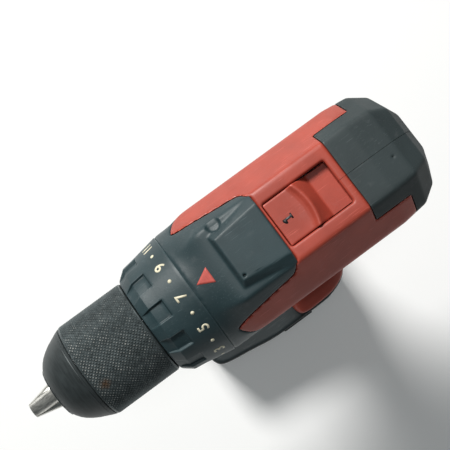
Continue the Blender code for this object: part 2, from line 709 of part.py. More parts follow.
def make_drive():
    for stage, x in ((1, STAGE_1_X), (2, STAGE_2_X)):
        for k, angle, centre in planet_places():
            turn = angle + math.pi + math.pi / PLANET_TEETH
            planet = spur(f"planet_{stage}_{k}", PLANET_TEETH, turn, x + 0.1, x + GEAR_WIDTH, PIN_R + RUN, centre)
            piece(planet, "bright_steel", on_axis(x, *centre))

    carrier = turned("carrier_1", [(CARRIER_1_X, 0), (CARRIER_1_X, CARRIER_R), (SUN_2_X, CARRIER_R), (SUN_2_X, 0)])
    join(carrier, spur("sun_2", SUN_TEETH, 0, SUN_2_X - 1, CARRIER_2_X - GAP))
    join(carrier, *pins("carrier_pin", STAGE_1_X, CARRIER_1_X + 1))
    piece(carrier, "bright_steel", on_axis(0))

    end = SLEEVE_REAR_X + 14
    spindle = turned("spindle", [
        (CARRIER_2_X, 0), (CARRIER_2_X, CARRIER_R), (CARRIER_2_X + CARRIER_THICK, CARRIER_R),
        (CARRIER_2_X + CARRIER_THICK, SPINDLE_R), (end, SPINDLE_R), (end, 2.9), (end - 14, 2.9), (end - 14, 0),
    ], sides=24)
    join(spindle, *pins("spindle_pin", STAGE_2_X, CARRIER_2_X + 1))
    piece(spindle, "bright_steel", on_axis(0))

    shift = ring_gear("shift_ring", STAGE_1_X - 0.5, STAGE_1_X - 0.5 + SHIFT_RING_WIDTH, RING_R)
    groove_x = STAGE_1_X + 3
    cut(shift, turned("shift_groove", [(groove_x - 1.2, RING_R - 1.2), (groove_x - 1.2, RING_R + 2),
                                       (groove_x + 1.2, RING_R + 2), (groove_x + 1.2, RING_R - 1.2)], sides=32))
    piece(shift, "bright_steel", on_axis(0))
    fixed = ring_gear("clutch_ring_gear", STAGE_2_X - 1.0, CARRIER_2_X + CARRIER_THICK, RING_R)
    piece(fixed, "bright_steel", on_axis(0))

    fork = turned("shift_fork", [(groove_x - 0.9, RING_R - 0.9), (groove_x - 0.9, RING_R + 0.05),
                                 (groove_x + 0.9, RING_R + 0.05), (groove_x + 0.9, RING_R - 0.9)], sides=32)
    keep_inside(fork, box("fork_limit", on_axis(-20, -40, 6), on_axis(40, 40, 60)))
    join(fork, box("fork_post", on_axis(groove_x - 0.9, -2.4, RING_R - 0.6),
                   on_axis(groove_x + 0.9, 2.4, PLATE_LOW - GAP)))
    piece(fork, "bright_steel")

    bore = BEARING_R + 0.1
    case = turned("gear_case", [
        (MOTOR_FRONT_X + GAP, CASE_R), (CASE_STEP_X, CASE_R), (CASE_STEP_X, NOSE_R), (NOSE_END_X, NOSE_R),
        (NOSE_END_X, bore), (NOSE_END_X - BEARING_WIDTH - 0.6, bore), (NOSE_END_X - BEARING_WIDTH - 0.6, 8),
        (CASE_FRONT_WALL_X, 8), (CASE_FRONT_WALL_X, CASE_IN_R), (MOTOR_FRONT_X + GAP, CASE_IN_R),
    ], sides=32)
    for place in clutch_pin_places():
        cut(case, rod("pin_hole", on_axis(CASE_FRONT_WALL_X - 1, *place), on_axis(CASE_STEP_X + 1, *place),
                      CLUTCH_PIN_R + RUN, 10))
    cut(case, box("fork_slot", on_axis(groove_x - SHIFT_TRAVEL - 1.8, -3.2, 10), on_axis(groove_x + 1.8, 3.2, 40)))
    piece(case, "aluminium")

    bearing = turned("front_bearing", [
        (NOSE_END_X - BEARING_WIDTH, SPINDLE_R + RUN), (NOSE_END_X - BEARING_WIDTH, BEARING_R),
        (NOSE_END_X, BEARING_R), (NOSE_END_X, SPINDLE_R + RUN)], sides=24)
    piece(bearing, "bright_steel", on_axis(0))


def clutch_pin_places():
    """Centres of the pins that press the clutch onto the ring gear's front face."""
    radius = (CARRIER_R + CASE_IN_R) / 2 + 0.2
    for k in range(CLUTCH_PINS):
        angle = 2 * math.pi * k / CLUTCH_PINS + math.pi / 6
        yield radius * math.cos(angle), radius * math.sin(angle)


CLUTCH_PLATE_X = CASE_STEP_X + GAP
CLUTCH_PLATE_THICK = 1.6
CLUTCH_NUT_X = SEAM_X + 10
CLUTCH_NUT_WIDTH = 4.0


def make_clutch():
    outer, rear = COLLAR_REAR_R, SEAM_X + GAP
    front_wall = COLLAR_FRONT_X - 2.8
    collar = turned("clutch_collar", [
        (rear, outer), (rear + 13, outer - 2.3), (COLLAR_FRONT_X - 4.2, COLLAR_FRONT_R),
        (COLLAR_FRONT_X, SLEEVE_R + 0.3), (COLLAR_FRONT_X, 14), (front_wall, 14),
        (front_wall, COLLAR_FRONT_R - COLLAR_WALL), (rear, outer - COLLAR_WALL - 1)], sides=36)
    piece(collar, "black_plastic", on_axis(0))

    nut_r = COLLAR_FRONT_R - COLLAR_WALL - 0.4
    nut = turned("clutch_nut", [
        (CLUTCH_NUT_X, NOSE_R + RUN), (CLUTCH_NUT_X, nut_r), (CLUTCH_NUT_X + CLUTCH_NUT_WIDTH, nut_r),
        (CLUTCH_NUT_X + CLUTCH_NUT_WIDTH, NOSE_R + RUN)], sides=32)
    piece(nut, "bright_steel", on_axis(0))

    plate_end = CLUTCH_PLATE_X + CLUTCH_PLATE_THICK
    plate = turned("clutch_plate", [
        (CLUTCH_PLATE_X, NOSE_R + GAP), (CLUTCH_PLATE_X, CASE_R - 0.6), (plate_end, CASE_R - 0.6),
        (plate_end, NOSE_R + GAP)], sides=32)
    ring_face = CARRIER_2_X + CARRIER_THICK
    join(plate, *[
        rod("clutch_pin", on_axis(ring_face + 0.2, *place), on_axis(plate_end - 0.4, *place), CLUTCH_PIN_R, 10)
        for place in clutch_pin_places()
    ])
    piece(plate, "bright_steel")

    spring_r = NOSE_R + GAP + SPRING_WIRE_R + 0.6
    spring = coil("clutch_spring", plate_end + 0.2, CLUTCH_NUT_X - 0.2, spring_r, SPRING_WIRE_R, 3)
    piece(spring, "bright_steel")


# ---------------------------------------------------------------------------- chuck

def jaw_outer(x):
    """Radius of the cone that the jaws' outer sides slide along."""
    return JAW_TIP_R + (JAW_TIP_X - x) * math.tan(JAW_SLOPE)


def jaw_centre(x):
    return jaw_outer(x) - JAW_R / math.cos(JAW_SLOPE)


def spun(point, angle):
    """A point given from the spindle axis, turned about that axis."""
    x, y, z = point
    c, s = math.cos(angle), math.sin(angle)
    return on_axis(x, y * c - z * s, y * s + z * c)


def make_chuck():
    nut_x = SLEEVE_FRONT_X - CHUCK_NUT_WIDTH - 0.6
    groove_low, groove_high = nut_x - 0.5, SLEEVE_FRONT_X + 0.2
    core = CHUCK_CORE_R
    front = CHUCK_FRONT_X - 0.5
    thread_end = SLEEVE_REAR_X + 14.6
    hole_end = thread_end + 4
    body = turned("chuck_body", [
        (SLEEVE_REAR_X + 0.2, THREAD_R), (SLEEVE_REAR_X + 0.2, 17.5), (SLEEVE_REAR_X + 1.8, 17.5),
        (SLEEVE_REAR_X + 1.8, core), (groove_low, core), (groove_low, core - 3.4), (groove_high, core - 3.4),
        (groove_high, core), (front - 2, NOSE_FRONT_R - 2.6), (front, NOSE_FRONT_R - 3.4), (front, DRILL_HOLE_R),
        (hole_end, DRILL_HOLE_R), (hole_end, 2.9), (thread_end, 2.9), (thread_end, THREAD_R)], sides=18)
    for k in range(JAWS):
        angle = 2 * math.pi * k / JAWS
        start = spun((CHUCK_FRONT_X + 8, 0, jaw_centre(CHUCK_FRONT_X + 8)), angle)
        end = spun((SLEEVE_REAR_X + 2.2, 0, jaw_centre(SLEEVE_REAR_X + 2.2)), angle)
        cut(body, rod("jaw_hole", start, end, (JAW_R + RUN) * 1.03, 12))
    piece(body, "dark_steel", on_axis(0))

    low = SLEEVE_FRONT_X + GAP
    nose = turned("chuck_nose", [
        (low, SLEEVE_R - 1.7), (CHUCK_FRONT_X - 2.7, NOSE_FRONT_R), (CHUCK_FRONT_X - 0.7, NOSE_FRONT_R - 1.6),
        (CHUCK_FRONT_X, NOSE_FRONT_R - 3.6), (CHUCK_FRONT_X, 7.2), (CHUCK_FRONT_X - 0.3, 7.2),
        (CHUCK_FRONT_X - 0.3, NOSE_FRONT_R - 3.2), (front - 2, NOSE_FRONT_R - 2.3),
        (low, core + 0.5)], sides=28)
    piece(nose, "dark_steel", on_axis(0))

    sleeve_in = SLEEVE_R - SLEEVE_WALL
    sleeve = turned("chuck_sleeve", [
        (SLEEVE_REAR_X, SLEEVE_R - 0.6), (SLEEVE_REAR_X + 0.8, SLEEVE_R), (SLEEVE_FRONT_X - 3.2, SLEEVE_R),
        (SLEEVE_FRONT_X, SLEEVE_R - 1.6), (SLEEVE_FRONT_X, sleeve_in), (SLEEVE_REAR_X, sleeve_in)], sides=36)
    piece(sleeve, "dark_steel", on_axis(0))

    nut_end = nut_x + CHUCK_NUT_WIDTH
    nut = turned("chuck_nut", [
        (nut_x, jaw_outer(nut_x) + RUN), (nut_x, sleeve_in - 0.2), (nut_end, sleeve_in - 0.2),
        (nut_end, jaw_outer(nut_end) + RUN)], sides=36)
    piece(nut, "bright_steel", on_axis(0))

    for k in range(JAWS):
        angle = 2 * math.pi * k / JAWS
        back = JAW_TIP_X - JAW_LENGTH * math.cos(JAW_SLOPE)
        start = spun((JAW_TIP_X + 4, 0, jaw_centre(JAW_TIP_X + 4)), angle)
        end = spun((back, 0, jaw_centre(back)), angle)
        jaw = rod(f"jaw_{k + 1}", start, end, JAW_R, 16)
        # the sector between the two neighbours, with half the gap on each side
        near = GAP / 2 / math.cos(math.radians(30))
        corners = [(0, near), (60 * math.sin(math.radians(60)), near + 60 * math.cos(math.radians(60))),
                   (0, 90), (-60 * math.sin(math.radians(60)), near + 60 * math.cos(math.radians(60)))]
        rings = [[spun((x, y, z), angle) for y, z in corners] for x in (back - 10, JAW_TIP_X)]
        keep_inside(jaw, loft("jaw_sector", rings))
        piece(jaw, "bright_steel", spun((JAW_TIP_X, 0, 0), angle))

    head = turned("chuck_screw", [
        (hole_end + 0.3, 0), (hole_end + 0.3, 4.6), (hole_end + 3.2, 4.6), (hole_end + 3.2, 0)], sides=16)
    join(head, rod("chuck_screw_shank", on_axis(SLEEVE_REAR_X + 3, 0, 0), on_axis(hole_end + 1, 0, 0), 2.6, 16))
    piece(head, "bright_steel", on_axis(0))


# ---------------------------------------------------------------------------- motor

MOTOR_REAR_X = MOTOR_FRONT_X - MOTOR_LENGTH


def make_motor():
    inner = MOTOR_R - MOTOR_WALL
    hole = SHAFT_R + 0.9
    can = turned("motor_can", [
        (MOTOR_FRONT_X, hole), (MOTOR_FRONT_X, MOTOR_R), (MOTOR_REAR_X, MOTOR_R), (MOTOR_REAR_X, inner),
        (MOTOR_FRONT_X - MOTOR_WALL, inner), (MOTOR_FRONT_X - MOTOR_WALL, hole)], sides=20)
    for k in range(4):
        angle = math.pi / 4 + math.pi / 2 * k
        near = on_axis(MOTOR_FRONT_X - 5, 10 * math.cos(angle), 10 * math.sin(angle))
        far = on_axis(MOTOR_FRONT_X - 5, 25 * math.cos(angle), 25 * math.sin(angle))
        cut(can, rod("can_vent", near, far, 2.6, 10))
    piece(can, "bright_steel")

    rear = MOTOR_REAR_X - GAP
    seat_r = 7.1
    cap = turned("motor_end_cap", [
        (rear, MOTOR_R), (rear - 3.7, MOTOR_R), (rear - 5.7, 9), (rear - 9.6, 9), (rear - 9.6, seat_r),
        (rear - 4.2, seat_r), (rear - 4.2, hole), (rear - 2, hole), (rear - 2, inner), (rear, inner)], sides=20)
    piece(cap, "black_plastic")
    bearing = turned("rear_bearing", [
        (rear - 4.5, SHAFT_R + 0.1), (rear - 4.5, seat_r - RUN), (rear - 9.3, seat_r - RUN),
        (rear - 9.3, SHAFT_R + 0.1)], sides=20)
    piece(bearing, "bright_steel")

    shaft_end = CARRIER_1_X - 0.5
    fan_x = MOTOR_FRONT_X - MOTOR_WALL - 1.2
    core_x = fan_x - 6.5
    rotor = turned("rotor", [
        (shaft_end, 0), (shaft_end, SHAFT_R), (core_x, SHAFT_R), (core_x, ARMATURE_R), (core_x - 22, ARMATURE_R),
        (core_x - 22, 5.5), (rear - 1.2, 5.5), (rear - 1.2, SHAFT_R), (rear - 9.2, SHAFT_R), (rear - 9.2, 0)],
        sides=20)
    piece(rotor, "copper_windings", on_axis(0))
    fan = turned("cooling_fan", [
        (fan_x, SHAFT_R + 0.1), (fan_x, 6), (fan_x - 3.4, 6), (fan_x - 3.4, 14.5), (fan_x - 5.2, 14.5),
        (fan_x - 5.2, SHAFT_R + 0.1)], sides=24)
    for k in range(6):
        angle = math.pi / 3 * k
        blade = box(f"blade_{k}", (fan_x - 4.4, 5, -0.5), (fan_x - 0.4, 14, 0.5))
        blade.matrix_world = Matrix.Translation(Vector(on_axis(0)) * MM) @ Matrix.Rotation(angle, 4, "X")
        bpy.context.view_layer.update()
        join(fan, blade)
    piece(fan, "black_plastic", on_axis(0))
    pinion = spur("motor_pinion", SUN_TEETH, 0, STAGE_1_X - 2, CARRIER_1_X - 0.6, SHAFT_R + 0.1)
    piece(pinion, "bright_steel", on_axis(0))


# ------------------------------------------------------------------------- controls

PLATE_LOW = CASE_R + 1.9
PLATE_HIGH = BARREL_TOP - CAVITY_INSET - 0.5


def make_controls():
    half = SLOT_HALF_W - 0.4
    slot_rear = SLOT_FRONT_X - SLOT_LENGTH
    panel_rear = SLOT_FRONT_X - PANEL_LENGTH
    slide = box("selector_slide", on_axis(slot_rear - 0.4, -half, PLATE_LOW),
                on_axis(SLOT_FRONT_X + SHIFT_TRAVEL, half, PLATE_HIGH))
    profile = [
        (SLOT_FRONT_X - 0.4, PLATE_HIGH - 0.5), (SLOT_FRONT_X - 0.4, BARREL_TOP - 0.6),
        (SLOT_FRONT_X - 14.2, BARREL_TOP - 0.6), (SLOT_FRONT_X - 15.4, BARREL_TOP + 1.6),
        (SLOT_FRONT_X - 18.0, BARREL_TOP + 1.6), (panel_rear, PLATE_HIGH + 0.6), (panel_rear, PLATE_HIGH - 0.5),
    ]
    rings = [[on_axis(x, y, z) for x, z in profile] for y in (0.2 - half, half - 0.2)]
    join(slide, loft("selector_panel", rings), solver=THIN_SOLVER)
    piece(slide, "red_plastic", on_axis(SLOT_FRONT_X, 0, PLATE_HIGH))

    trigger = box("trigger", on_axis(TRIGGER_BACK_X, -TRIGGER_HALF_W, TRIGGER_LOW),
                  on_axis(TRIGGER_FRONT_X, TRIGGER_HALF_W, TRIGGER_TOP))
    middle = (TRIGGER_TOP + TRIGGER_LOW) / 2
    cut(trigger, rod("finger_hollow", on_axis(TRIGGER_FRONT_X + 24, -20, middle - 2),
                     on_axis(TRIGGER_FRONT_X + 24, 20, middle - 2), 27, 40))
    join(trigger, rod("plunger", on_axis(TRIGGER_BACK_X + 1, 0, middle), on_axis(SWITCH_FRONT_X - 1.5, 0, middle), 2, 12))
    piece(trigger, "black_plastic", on_axis(TRIGGER_BACK_X, 0, middle))
    sx, sy, sz = SWITCH_SIZE
    switch = box("switch_module", on_axis(SWITCH_FRONT_X - sx, -sy / 2, middle - sz / 2),
                 on_axis(SWITCH_FRONT_X, sy / 2, middle + sz / 2))
    cut(switch, rod("plunger_bore", on_axis(SWITCH_FRONT_X - TRIGGER_TRAVEL - 3, 0, middle),
                    on_axis(SWITCH_FRONT_X + 5, 0, middle), 2 + RUN, 12))
    piece(switch, "grey_plastic")
    spring = coil("trigger_spring", SWITCH_FRONT_X + 0.2, TRIGGER_BACK_X - 0.2, 3.6, 0.5, 4, (0.0, middle))
    piece(spring, "bright_steel")

    reach = 18.0 + BUTTON_STANDS_OUT
    button = rod("direction_button", on_axis(BUTTON_X, -reach, BUTTON_DROP),
                 on_axis(BUTTON_X, reach, BUTTON_DROP), BUTTON_R, 20)
    piece(button, "black_plastic", on_axis(BUTTON_X, 0, BUTTON_DROP))


# -------------------------------------------------------------------------- battery

def rail_solid(name, grow):
    """The battery's T-shaped rail; grown, it is the slot in the foot, open to the front."""
    base = BATTERY_TOP - AXIS_Z
    rear = FOOT_REAR_X + 4.0 - grow
    front = FOOT_FRONT_X - 1.0 + (30 if grow else 0)
    low = -1 if not grow else -0.5
    neck = box(name, on_axis(rear, -RAIL_NECK_HALF_W - grow, base + low),
               on_axis(front, RAIL_NECK_HALF_W + grow, base + RAIL_LIP + 1))
    head = box(name + "_head", on_axis(rear, -RAIL_HALF_W - grow, base + RAIL_LIP + GAP - grow),
               on_axis(front, RAIL_HALF_W + grow, base + RAIL_HEIGHT + grow))
    return join(neck, head)


def pack_block(name, low_z, high_z, inset=0.0):
    middle = (BATTERY_FRONT_X + BATTERY_REAR_X) / 2
    half_l = (BATTERY_FRONT_X - BATTERY_REAR_X) / 2 - inset
    half_w = BATTERY_HALF_W - inset
    rows = ((low_z, 1.2 if low_z == 0 and not inset else 0.0), (low_z + 1.5, 0.0), (high_z - 1.5, 0.0),
            (high_z, 1.2 if high_z == BATTERY_TOP and not inset else 0.0))
    return loft(name, [
        plan_ring(PACK_PLAN, middle, z - AXIS_Z, half_l - trim, half_w - trim) for z, trim in rows
    ])


def make_battery():
    base = pack_block("battery_base", 0.0, CASE_SPLIT_Z)
    cut(base, pack_block("base_hollow", PACK_WALL, CASE_SPLIT_Z + 5, PACK_WALL))
    piece(base, "black_plastic")
    lid = pack_block("battery_lid", CASE_SPLIT_Z + GAP, BATTERY_TOP)
    cut(lid, pack_block("lid_hollow", CASE_SPLIT_Z - 5, BATTERY_TOP - PACK_WALL, PACK_WALL))
    join(lid, rail_solid("battery_rail", 0.0))
    channel_low = BATTERY_TOP + 1.5 - AXIS_Z
    cut(lid, box("contact_channel", on_axis(FOOT_REAR_X - 10, -12, channel_low), on_axis(-14, 12, channel_low + 20)))
    for side in (-1, 1):
        low, high = sorted((side * (BATTERY_HALF_W - 6), side * (BATTERY_HALF_W + 6)))
        cut(lid, box("latch_window", (LATCH_X - LATCH_LENGTH / 2 - 0.3, low, LATCH_Z - LATCH_HEIGHT / 2 - 0.3),
                     (LATCH_X + LATCH_LENGTH / 2 + 0.3, high, LATCH_Z + LATCH_HEIGHT / 2 + 0.3)))
    piece(lid, "black_plastic")
    middle = (BATTERY_FRONT_X + BATTERY_REAR_X) / 2
    for side, name in ((1, "left"), (-1, "right")):
        low, high = sorted((side * (BATTERY_HALF_W - LATCH_DEPTH), side * (BATTERY_HALF_W + LATCH_STANDS_OUT)))
        latch = box(f"latch_{name}", (LATCH_X - LATCH_LENGTH / 2, low, LATCH_Z - LATCH_HEIGHT / 2),
                    (LATCH_X + LATCH_LENGTH / 2, high, LATCH_Z + LATCH_HEIGHT / 2))
        piece(latch, "red_plastic", (LATCH_X, side * BATTERY_HALF_W, LATCH_Z))
    for row, name in ((0, "lower"), (1, "upper")):
        z = PACK_WALL + 1.2 + CELL_R + row * (2 * CELL_R + 1.0)
        cells = []
        for i in range(CELLS_IN_ROWS[row]):
            y = (i - (CELLS_IN_ROWS[row] - 1) / 2) * CELL_PITCH
            cells.append(rod(f"cells_{name}" if i == 0 else "cell", (middle - CELL_LENGTH / 2, y, z),
                             (middle + CELL_LENGTH / 2, y, z), CELL_R, 16))
        piece(join(cells[0], *cells[1:]), "cell_wrap")
    board_z = PACK_WALL + 1.2 + 4 * CELL_R + 1.0 + 1.5
    board = box("battery_board", (middle - 38, -26, board_z), (middle + 30, 26, board_z + 1.6))
    piece(board, "grey_plastic")
    block = box("terminal_block", on_axis(-28, -11, channel_low + 4.5), on_axis(-15, 11, FOOT_BOTTOM + 10))
    for y in (-7.5, 7.5):
        join(block, box("blade", on_axis(-27, y - 0.6, channel_low + 0.5), on_axis(-18, y + 0.6, channel_low + 6)))
    piece(block, "black_plastic")


def main():
    clear_scene()
    collection("cordless_drill")
    collection("cutters")
    make_housing()
    make_drive()
    make_clutch()
    make_chuck()
    make_motor()
    make_controls()
    make_battery()


main()
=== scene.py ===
"""Cordless drill driver: its shells, chuck, collar, controls and battery, finished around the packed frame.

Sizes are in millimetres and are measured from the spindle axis: x forward, y to the
drill's left, z up. They become metres as each mesh is made.
"""

import json
import math

import bmesh
import bpy
import numpy as np
from bpy.props import FloatProperty, FloatVectorProperty, IntProperty, PointerProperty
from mathutils import Matrix, Vector
from mathutils.bvhtree import BVHTree


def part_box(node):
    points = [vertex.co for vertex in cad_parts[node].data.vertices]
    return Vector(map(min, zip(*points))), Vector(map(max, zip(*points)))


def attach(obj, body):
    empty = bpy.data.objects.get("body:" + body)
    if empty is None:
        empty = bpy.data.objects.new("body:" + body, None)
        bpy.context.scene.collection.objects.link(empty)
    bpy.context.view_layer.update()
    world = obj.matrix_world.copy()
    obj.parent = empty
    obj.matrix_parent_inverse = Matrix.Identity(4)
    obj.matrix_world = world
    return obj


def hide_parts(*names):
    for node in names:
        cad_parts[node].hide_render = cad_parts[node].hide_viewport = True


bl_info = {
    "name": "Cordless drill driver",
    "version": (1, 0, 0),
    "blender": (4, 5, 0),
    "location": "View3D > Sidebar > Drill",
    "description": "Builds a cordless drill's shells, chuck, collar, controls and battery",
    "category": "Add Mesh",
}

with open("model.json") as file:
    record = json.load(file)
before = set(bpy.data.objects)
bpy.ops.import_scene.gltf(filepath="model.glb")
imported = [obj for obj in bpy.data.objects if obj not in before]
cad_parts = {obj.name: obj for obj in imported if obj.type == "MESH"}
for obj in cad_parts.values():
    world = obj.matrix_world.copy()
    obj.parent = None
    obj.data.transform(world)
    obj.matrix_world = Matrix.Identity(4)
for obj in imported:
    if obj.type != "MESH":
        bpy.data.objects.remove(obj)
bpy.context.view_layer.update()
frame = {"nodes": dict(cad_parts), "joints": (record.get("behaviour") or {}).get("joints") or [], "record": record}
MM = 0.001
PIVOTS = {j["name"]: j.get("pos_m") for j in frame["joints"]}
AXIS_Z = PIVOTS["spindle_spin"][2] / MM
SPINDLE_UP = Vector((0, 0, AXIS_Z))    # from the frame's origin, in millimetres


def reach(node):
    """Lowest and highest corner of a node, in millimetres from the spindle axis."""
    low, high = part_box(node)
    return low / MM - SPINDLE_UP, high / MM - SPINDLE_UP


COLLAR_REAR_X, COLLAR_FRONT_X = reach("clutch_collar")[0].x, reach("clutch_collar")[1].x
COLLAR_R = reach("clutch_collar")[1].y
SLEEVE_REAR_X, SLEEVE_FRONT_X = reach("chuck_sleeve")[0].x, reach("chuck_sleeve")[1].x
SLEEVE_R = reach("chuck_sleeve")[1].z
NOSE_FRONT_X = reach("chuck_nose")[1].x
JAW_TIP_X = reach("jaw_1")[1].x
REAR_X = reach("rear_pad_left")[0].x
PACK_LOW, PACK_HIGH = reach("battery_base")
PACK_MIDDLE_X = (PACK_LOW.x + PACK_HIGH.x) / 2
LID_LOW_Z = reach("battery_lid")[0].z
LATCH_LOW, LATCH_HIGH = reach("latch_left")
SLIDE_LOW, SLIDE_HIGH = reach("selector_slide")
TRIGGER_LOW, TRIGGER_HIGH = reach("trigger")
BUTTON_END_Y = reach("direction_button")[1].y

# Sizes shared with the part
GAP = 0.3
SKIN, SHELL_INSET, CAVITY_INSET = 1.6, 1.9, 3.9
HALF_W = 28.22
TOP, BOTTOM = HALF_W + 2.5, HALF_W - 0.5
SEAM_X, COVER_REAR_X = 39.2, 0.6
PAD_FRONT_X, REAR_ROUND_X = -34.6, -51.0
SLOT_FRONT_X, SLOT_LENGTH, SLOT_HALF_W = -0.8, 30.0, 10.0
FOOT_BOTTOM = 52.3 - AXIS_Z
HANDLE_LOW = FOOT_BOTTOM + 15.0
FOOT_X, FOOT_HALF_L, FOOT_HALF_W = -16.4, 18.4, 35.8
LOBE_FRONT_X, LOBE_TOP = 19.0, -16.0
PAD_HALF_W = 20.6
SCREWS = ((-60.0, -16.5), (-38.0, -24.2), (-16.0, -27.5), (-22.0, -78.0), (-12.0, -101.0))
SEAT_R, SEAT_Y, BOSS_R = 3.0, -11.0, 4.4
BUTTON_X, BUTTON_Z, BUTTON_R, BUTTON_PLAY = 7.5, -33, 3.2, 0.3
VENT_X, VENT_R, VENT_HALF_H = (-26, -31, -36, -41), 1.2, 6.8
PACK_ROOF = 52.0 - AXIS_Z
JAW_R, JAW_LENGTH, JAW_SLOPE = 3.3, 34, math.radians(15)
LIP_LOW_R, LIP_HIGH_R, LIP_LENGTH = 26.05, 27.5, 1.2    # where the cover reaches into the collar
PACK_PLAN = ((1.0, 0.60), (0.967, 0.78), (0.87, 0.875), (0.53, 0.94), (0.16, 1.0), (-0.47, 1.0),
             (-0.64, 0.978), (-0.82, 0.905), (-0.94, 0.78), (-1.0, 0.60))
FOOT_PLAN = ((1.0, 0.80), (0.93, 0.94), (0.75, 1.0), (0.2, 1.0), (-0.25, 0.975), (-0.65, 0.90),
             (-0.9, 0.78), (-1.0, 0.60))
STEP_DEG = 32.0    # between two numbers on the collar
POCKET_HALF_DEG, POCKET_DEPTH = 8.4, 1.25
PAINT_OUT, PAINT_IN = 0.05, -0.25    # a printed mark's two faces, from the surface under it

SIDES = ((1, "left"), (-1, "right"))

# The camera: its focal length against IMAGE_SIDE, its place and its turn
IMAGE_SIDE, SENSOR_WIDTH = 450, 36.0
CAMERA_FOCAL = 960.0
CAMERA_PLACE = (39.2, 26.1, 395.7)
CAMERA_TILT = (-0.1038, -0.0666, 0.0029)
CAMERA_ROLL_DEG = 36.5


# ---- settings

def setting(kind, name, description, default, low, high):
    return kind(name=name, description=description, default=default, min=low, max=high)


class DrillSizes(bpy.types.PropertyGroup):
    shell_voxel: setting(
        FloatProperty, "Shell detail", "Voxel of the moulded shells, in millimetres", 0.55, 0.3, 2)
    edge_softness: setting(
        IntProperty, "Edge softness", "Smoothing passes that round the shells' edges", 2, 0, 12)
    knurl_pitch: setting(
        FloatProperty, "Knurl pitch", "Distance between the knurls, in millimetres", 0.8, 0.5, 3)
    digit_height: setting(
        FloatProperty, "Number height", "Size of the collar's numbers, in millimetres", 6.3, 2, 9)


def tint(name, colour):
    return FloatVectorProperty(name=name, description=f"{name}, linear RGB", default=colour,
                               subtype="COLOR", size=3, min=0, max=1)


class DrillColours(bpy.types.PropertyGroup):
    shell: tint("Shell red", (0.40, 0.060, 0.036))
    cover: tint("Cover grey", (0.022, 0.044, 0.050))
    rubber: tint("Rubber grey", (0.026, 0.038, 0.040))
    black: tint("Pack black", (0.012, 0.019, 0.021))
    dark_steel: tint("Blackened steel", (0.075, 0.092, 0.095))
    paint: tint("Number cream", (0.82, 0.76, 0.56))
    pointer: tint("Pointer red", (0.56, 0.105, 0.085))
    floor: tint("Floor", (0.90, 0.90, 0.895))


# ---- materials

class Value:
    """A material's socket that takes part in plain arithmetic."""

    def __init__(self, finish, socket):
        self.finish, self.socket = finish, socket

    def _sum(self, operation, *terms):
        return self.finish.node("ShaderNodeMath", {"operation": operation}, dict(enumerate(terms)))

    def __add__(self, other):
        return self._sum("ADD", self, other)

    def __sub__(self, other):
        return self._sum("SUBTRACT", self, other)

    def __rsub__(self, other):
        return self._sum("SUBTRACT", other, self)

    def __mul__(self, other):
        return self._sum("MULTIPLY", self, other)

    __radd__, __rmul__ = __add__, __mul__


class Finish:
    """One procedural material under construction."""

    made = {}

    def __init__(self, name):
        self.material = bpy.data.materials.new(name)
        self.material.use_nodes = True
        self.tree = self.material.node_tree
        self.tree.nodes.clear()
        Finish.made[name] = self.material
        self.place = self.node("ShaderNodeTexCoord", out="Object")

    def node(self, kind, settings=None, inputs=None, out=0):
        """Adds a node; an input is a value or another node's output."""
        made = self.tree.nodes.new(kind)
        for key, value in (settings or {}).items():
            setattr(made, key, value)
        for key, value in (inputs or {}).items():
            socket = made.inputs[key]
            if isinstance(value, Value):
                self.tree.links.new(value.socket, socket)
                continue
            if isinstance(value, tuple) and len(socket.default_value) == 4:
                value = (*value, 1)
            socket.default_value = value
        return Value(self, made.outputs[out]) if made.outputs else None

    def stretched(self, scale, turn=(0, 0, 0)):
        """Coordinates scaled unevenly, for grain and strokes that run one way."""
        return self.node("ShaderNodeMapping", inputs={
            "Vector": self.place, "Rotation": [math.radians(a) for a in turn], "Scale": list(scale)})

    def noise(self, size, detail=3.0, place=None, rough=0.55):
        """Noise whose features are about size millimetres."""
        return self.node("ShaderNodeTexNoise", inputs={
            "Vector": place or self.place, "Scale": 1 / (size * MM), "Detail": detail, "Roughness": rough},
            out="Fac")

    def cells(self, size, place=None):
        """Distance to the nearest point of a scattered set, size millimetres apart."""
        return self.node("ShaderNodeTexVoronoi", inputs={
            "Vector": place or self.place, "Scale": 1 / (size * MM)})

    def ramp(self, value, low, high):
        return self.node("ShaderNodeMapRange", {"interpolation_type": "SMOOTHSTEP"},
                         {"Value": value, "From Min": low, "From Max": high})

    def mix(self, first, second, share):
        return self.node("ShaderNodeMix", {"data_type": "RGBA"}, {0: share, 6: first, 7: second}, out=2)

    def attribute(self, name):
        return self.node("ShaderNodeAttribute", {"attribute_name": name}, out="Fac")

    def bump(self, height, depth, strength=1.0, under=None):
        inputs = {"Height": height, "Distance": depth * MM, "Strength": strength}
        if under:
            inputs["Normal"] = under
        return self.node("ShaderNodeBump", inputs=inputs)

    def scratches(self, turns, amount=0.5, length=14.0, width=0.35):
        """Fine straight scuffs that run in a few directions."""
        total = None
        for turn in turns:
            lines = self.noise(1.0, 1.0, self.stretched((1 / length, 1 / width, 1 / width), turn))
            patch = self.ramp(self.noise(9.0, 1.0, self.stretched((1, 1, 1), turn)), 0.48, 0.62)
            mark = self.ramp(lines, 0.66, 0.73) * patch
            total = total + mark if total else mark
        return total * amount

    def finish(self, colour, roughness, normal=None, metallic=0.0, **constants):
        inputs = {"Base Color": colour, "Roughness": roughness, "Metallic": metallic, **constants}
        if normal:
            inputs["Normal"] = normal
        shader = self.node("ShaderNodeBsdfPrincipled", inputs=inputs)
        self.node("ShaderNodeOutputMaterial", inputs={"Surface": shader})


def shade(colour, factor, lift=0.0):
    return tuple(min(1.0, c * factor + lift) for c in colour)


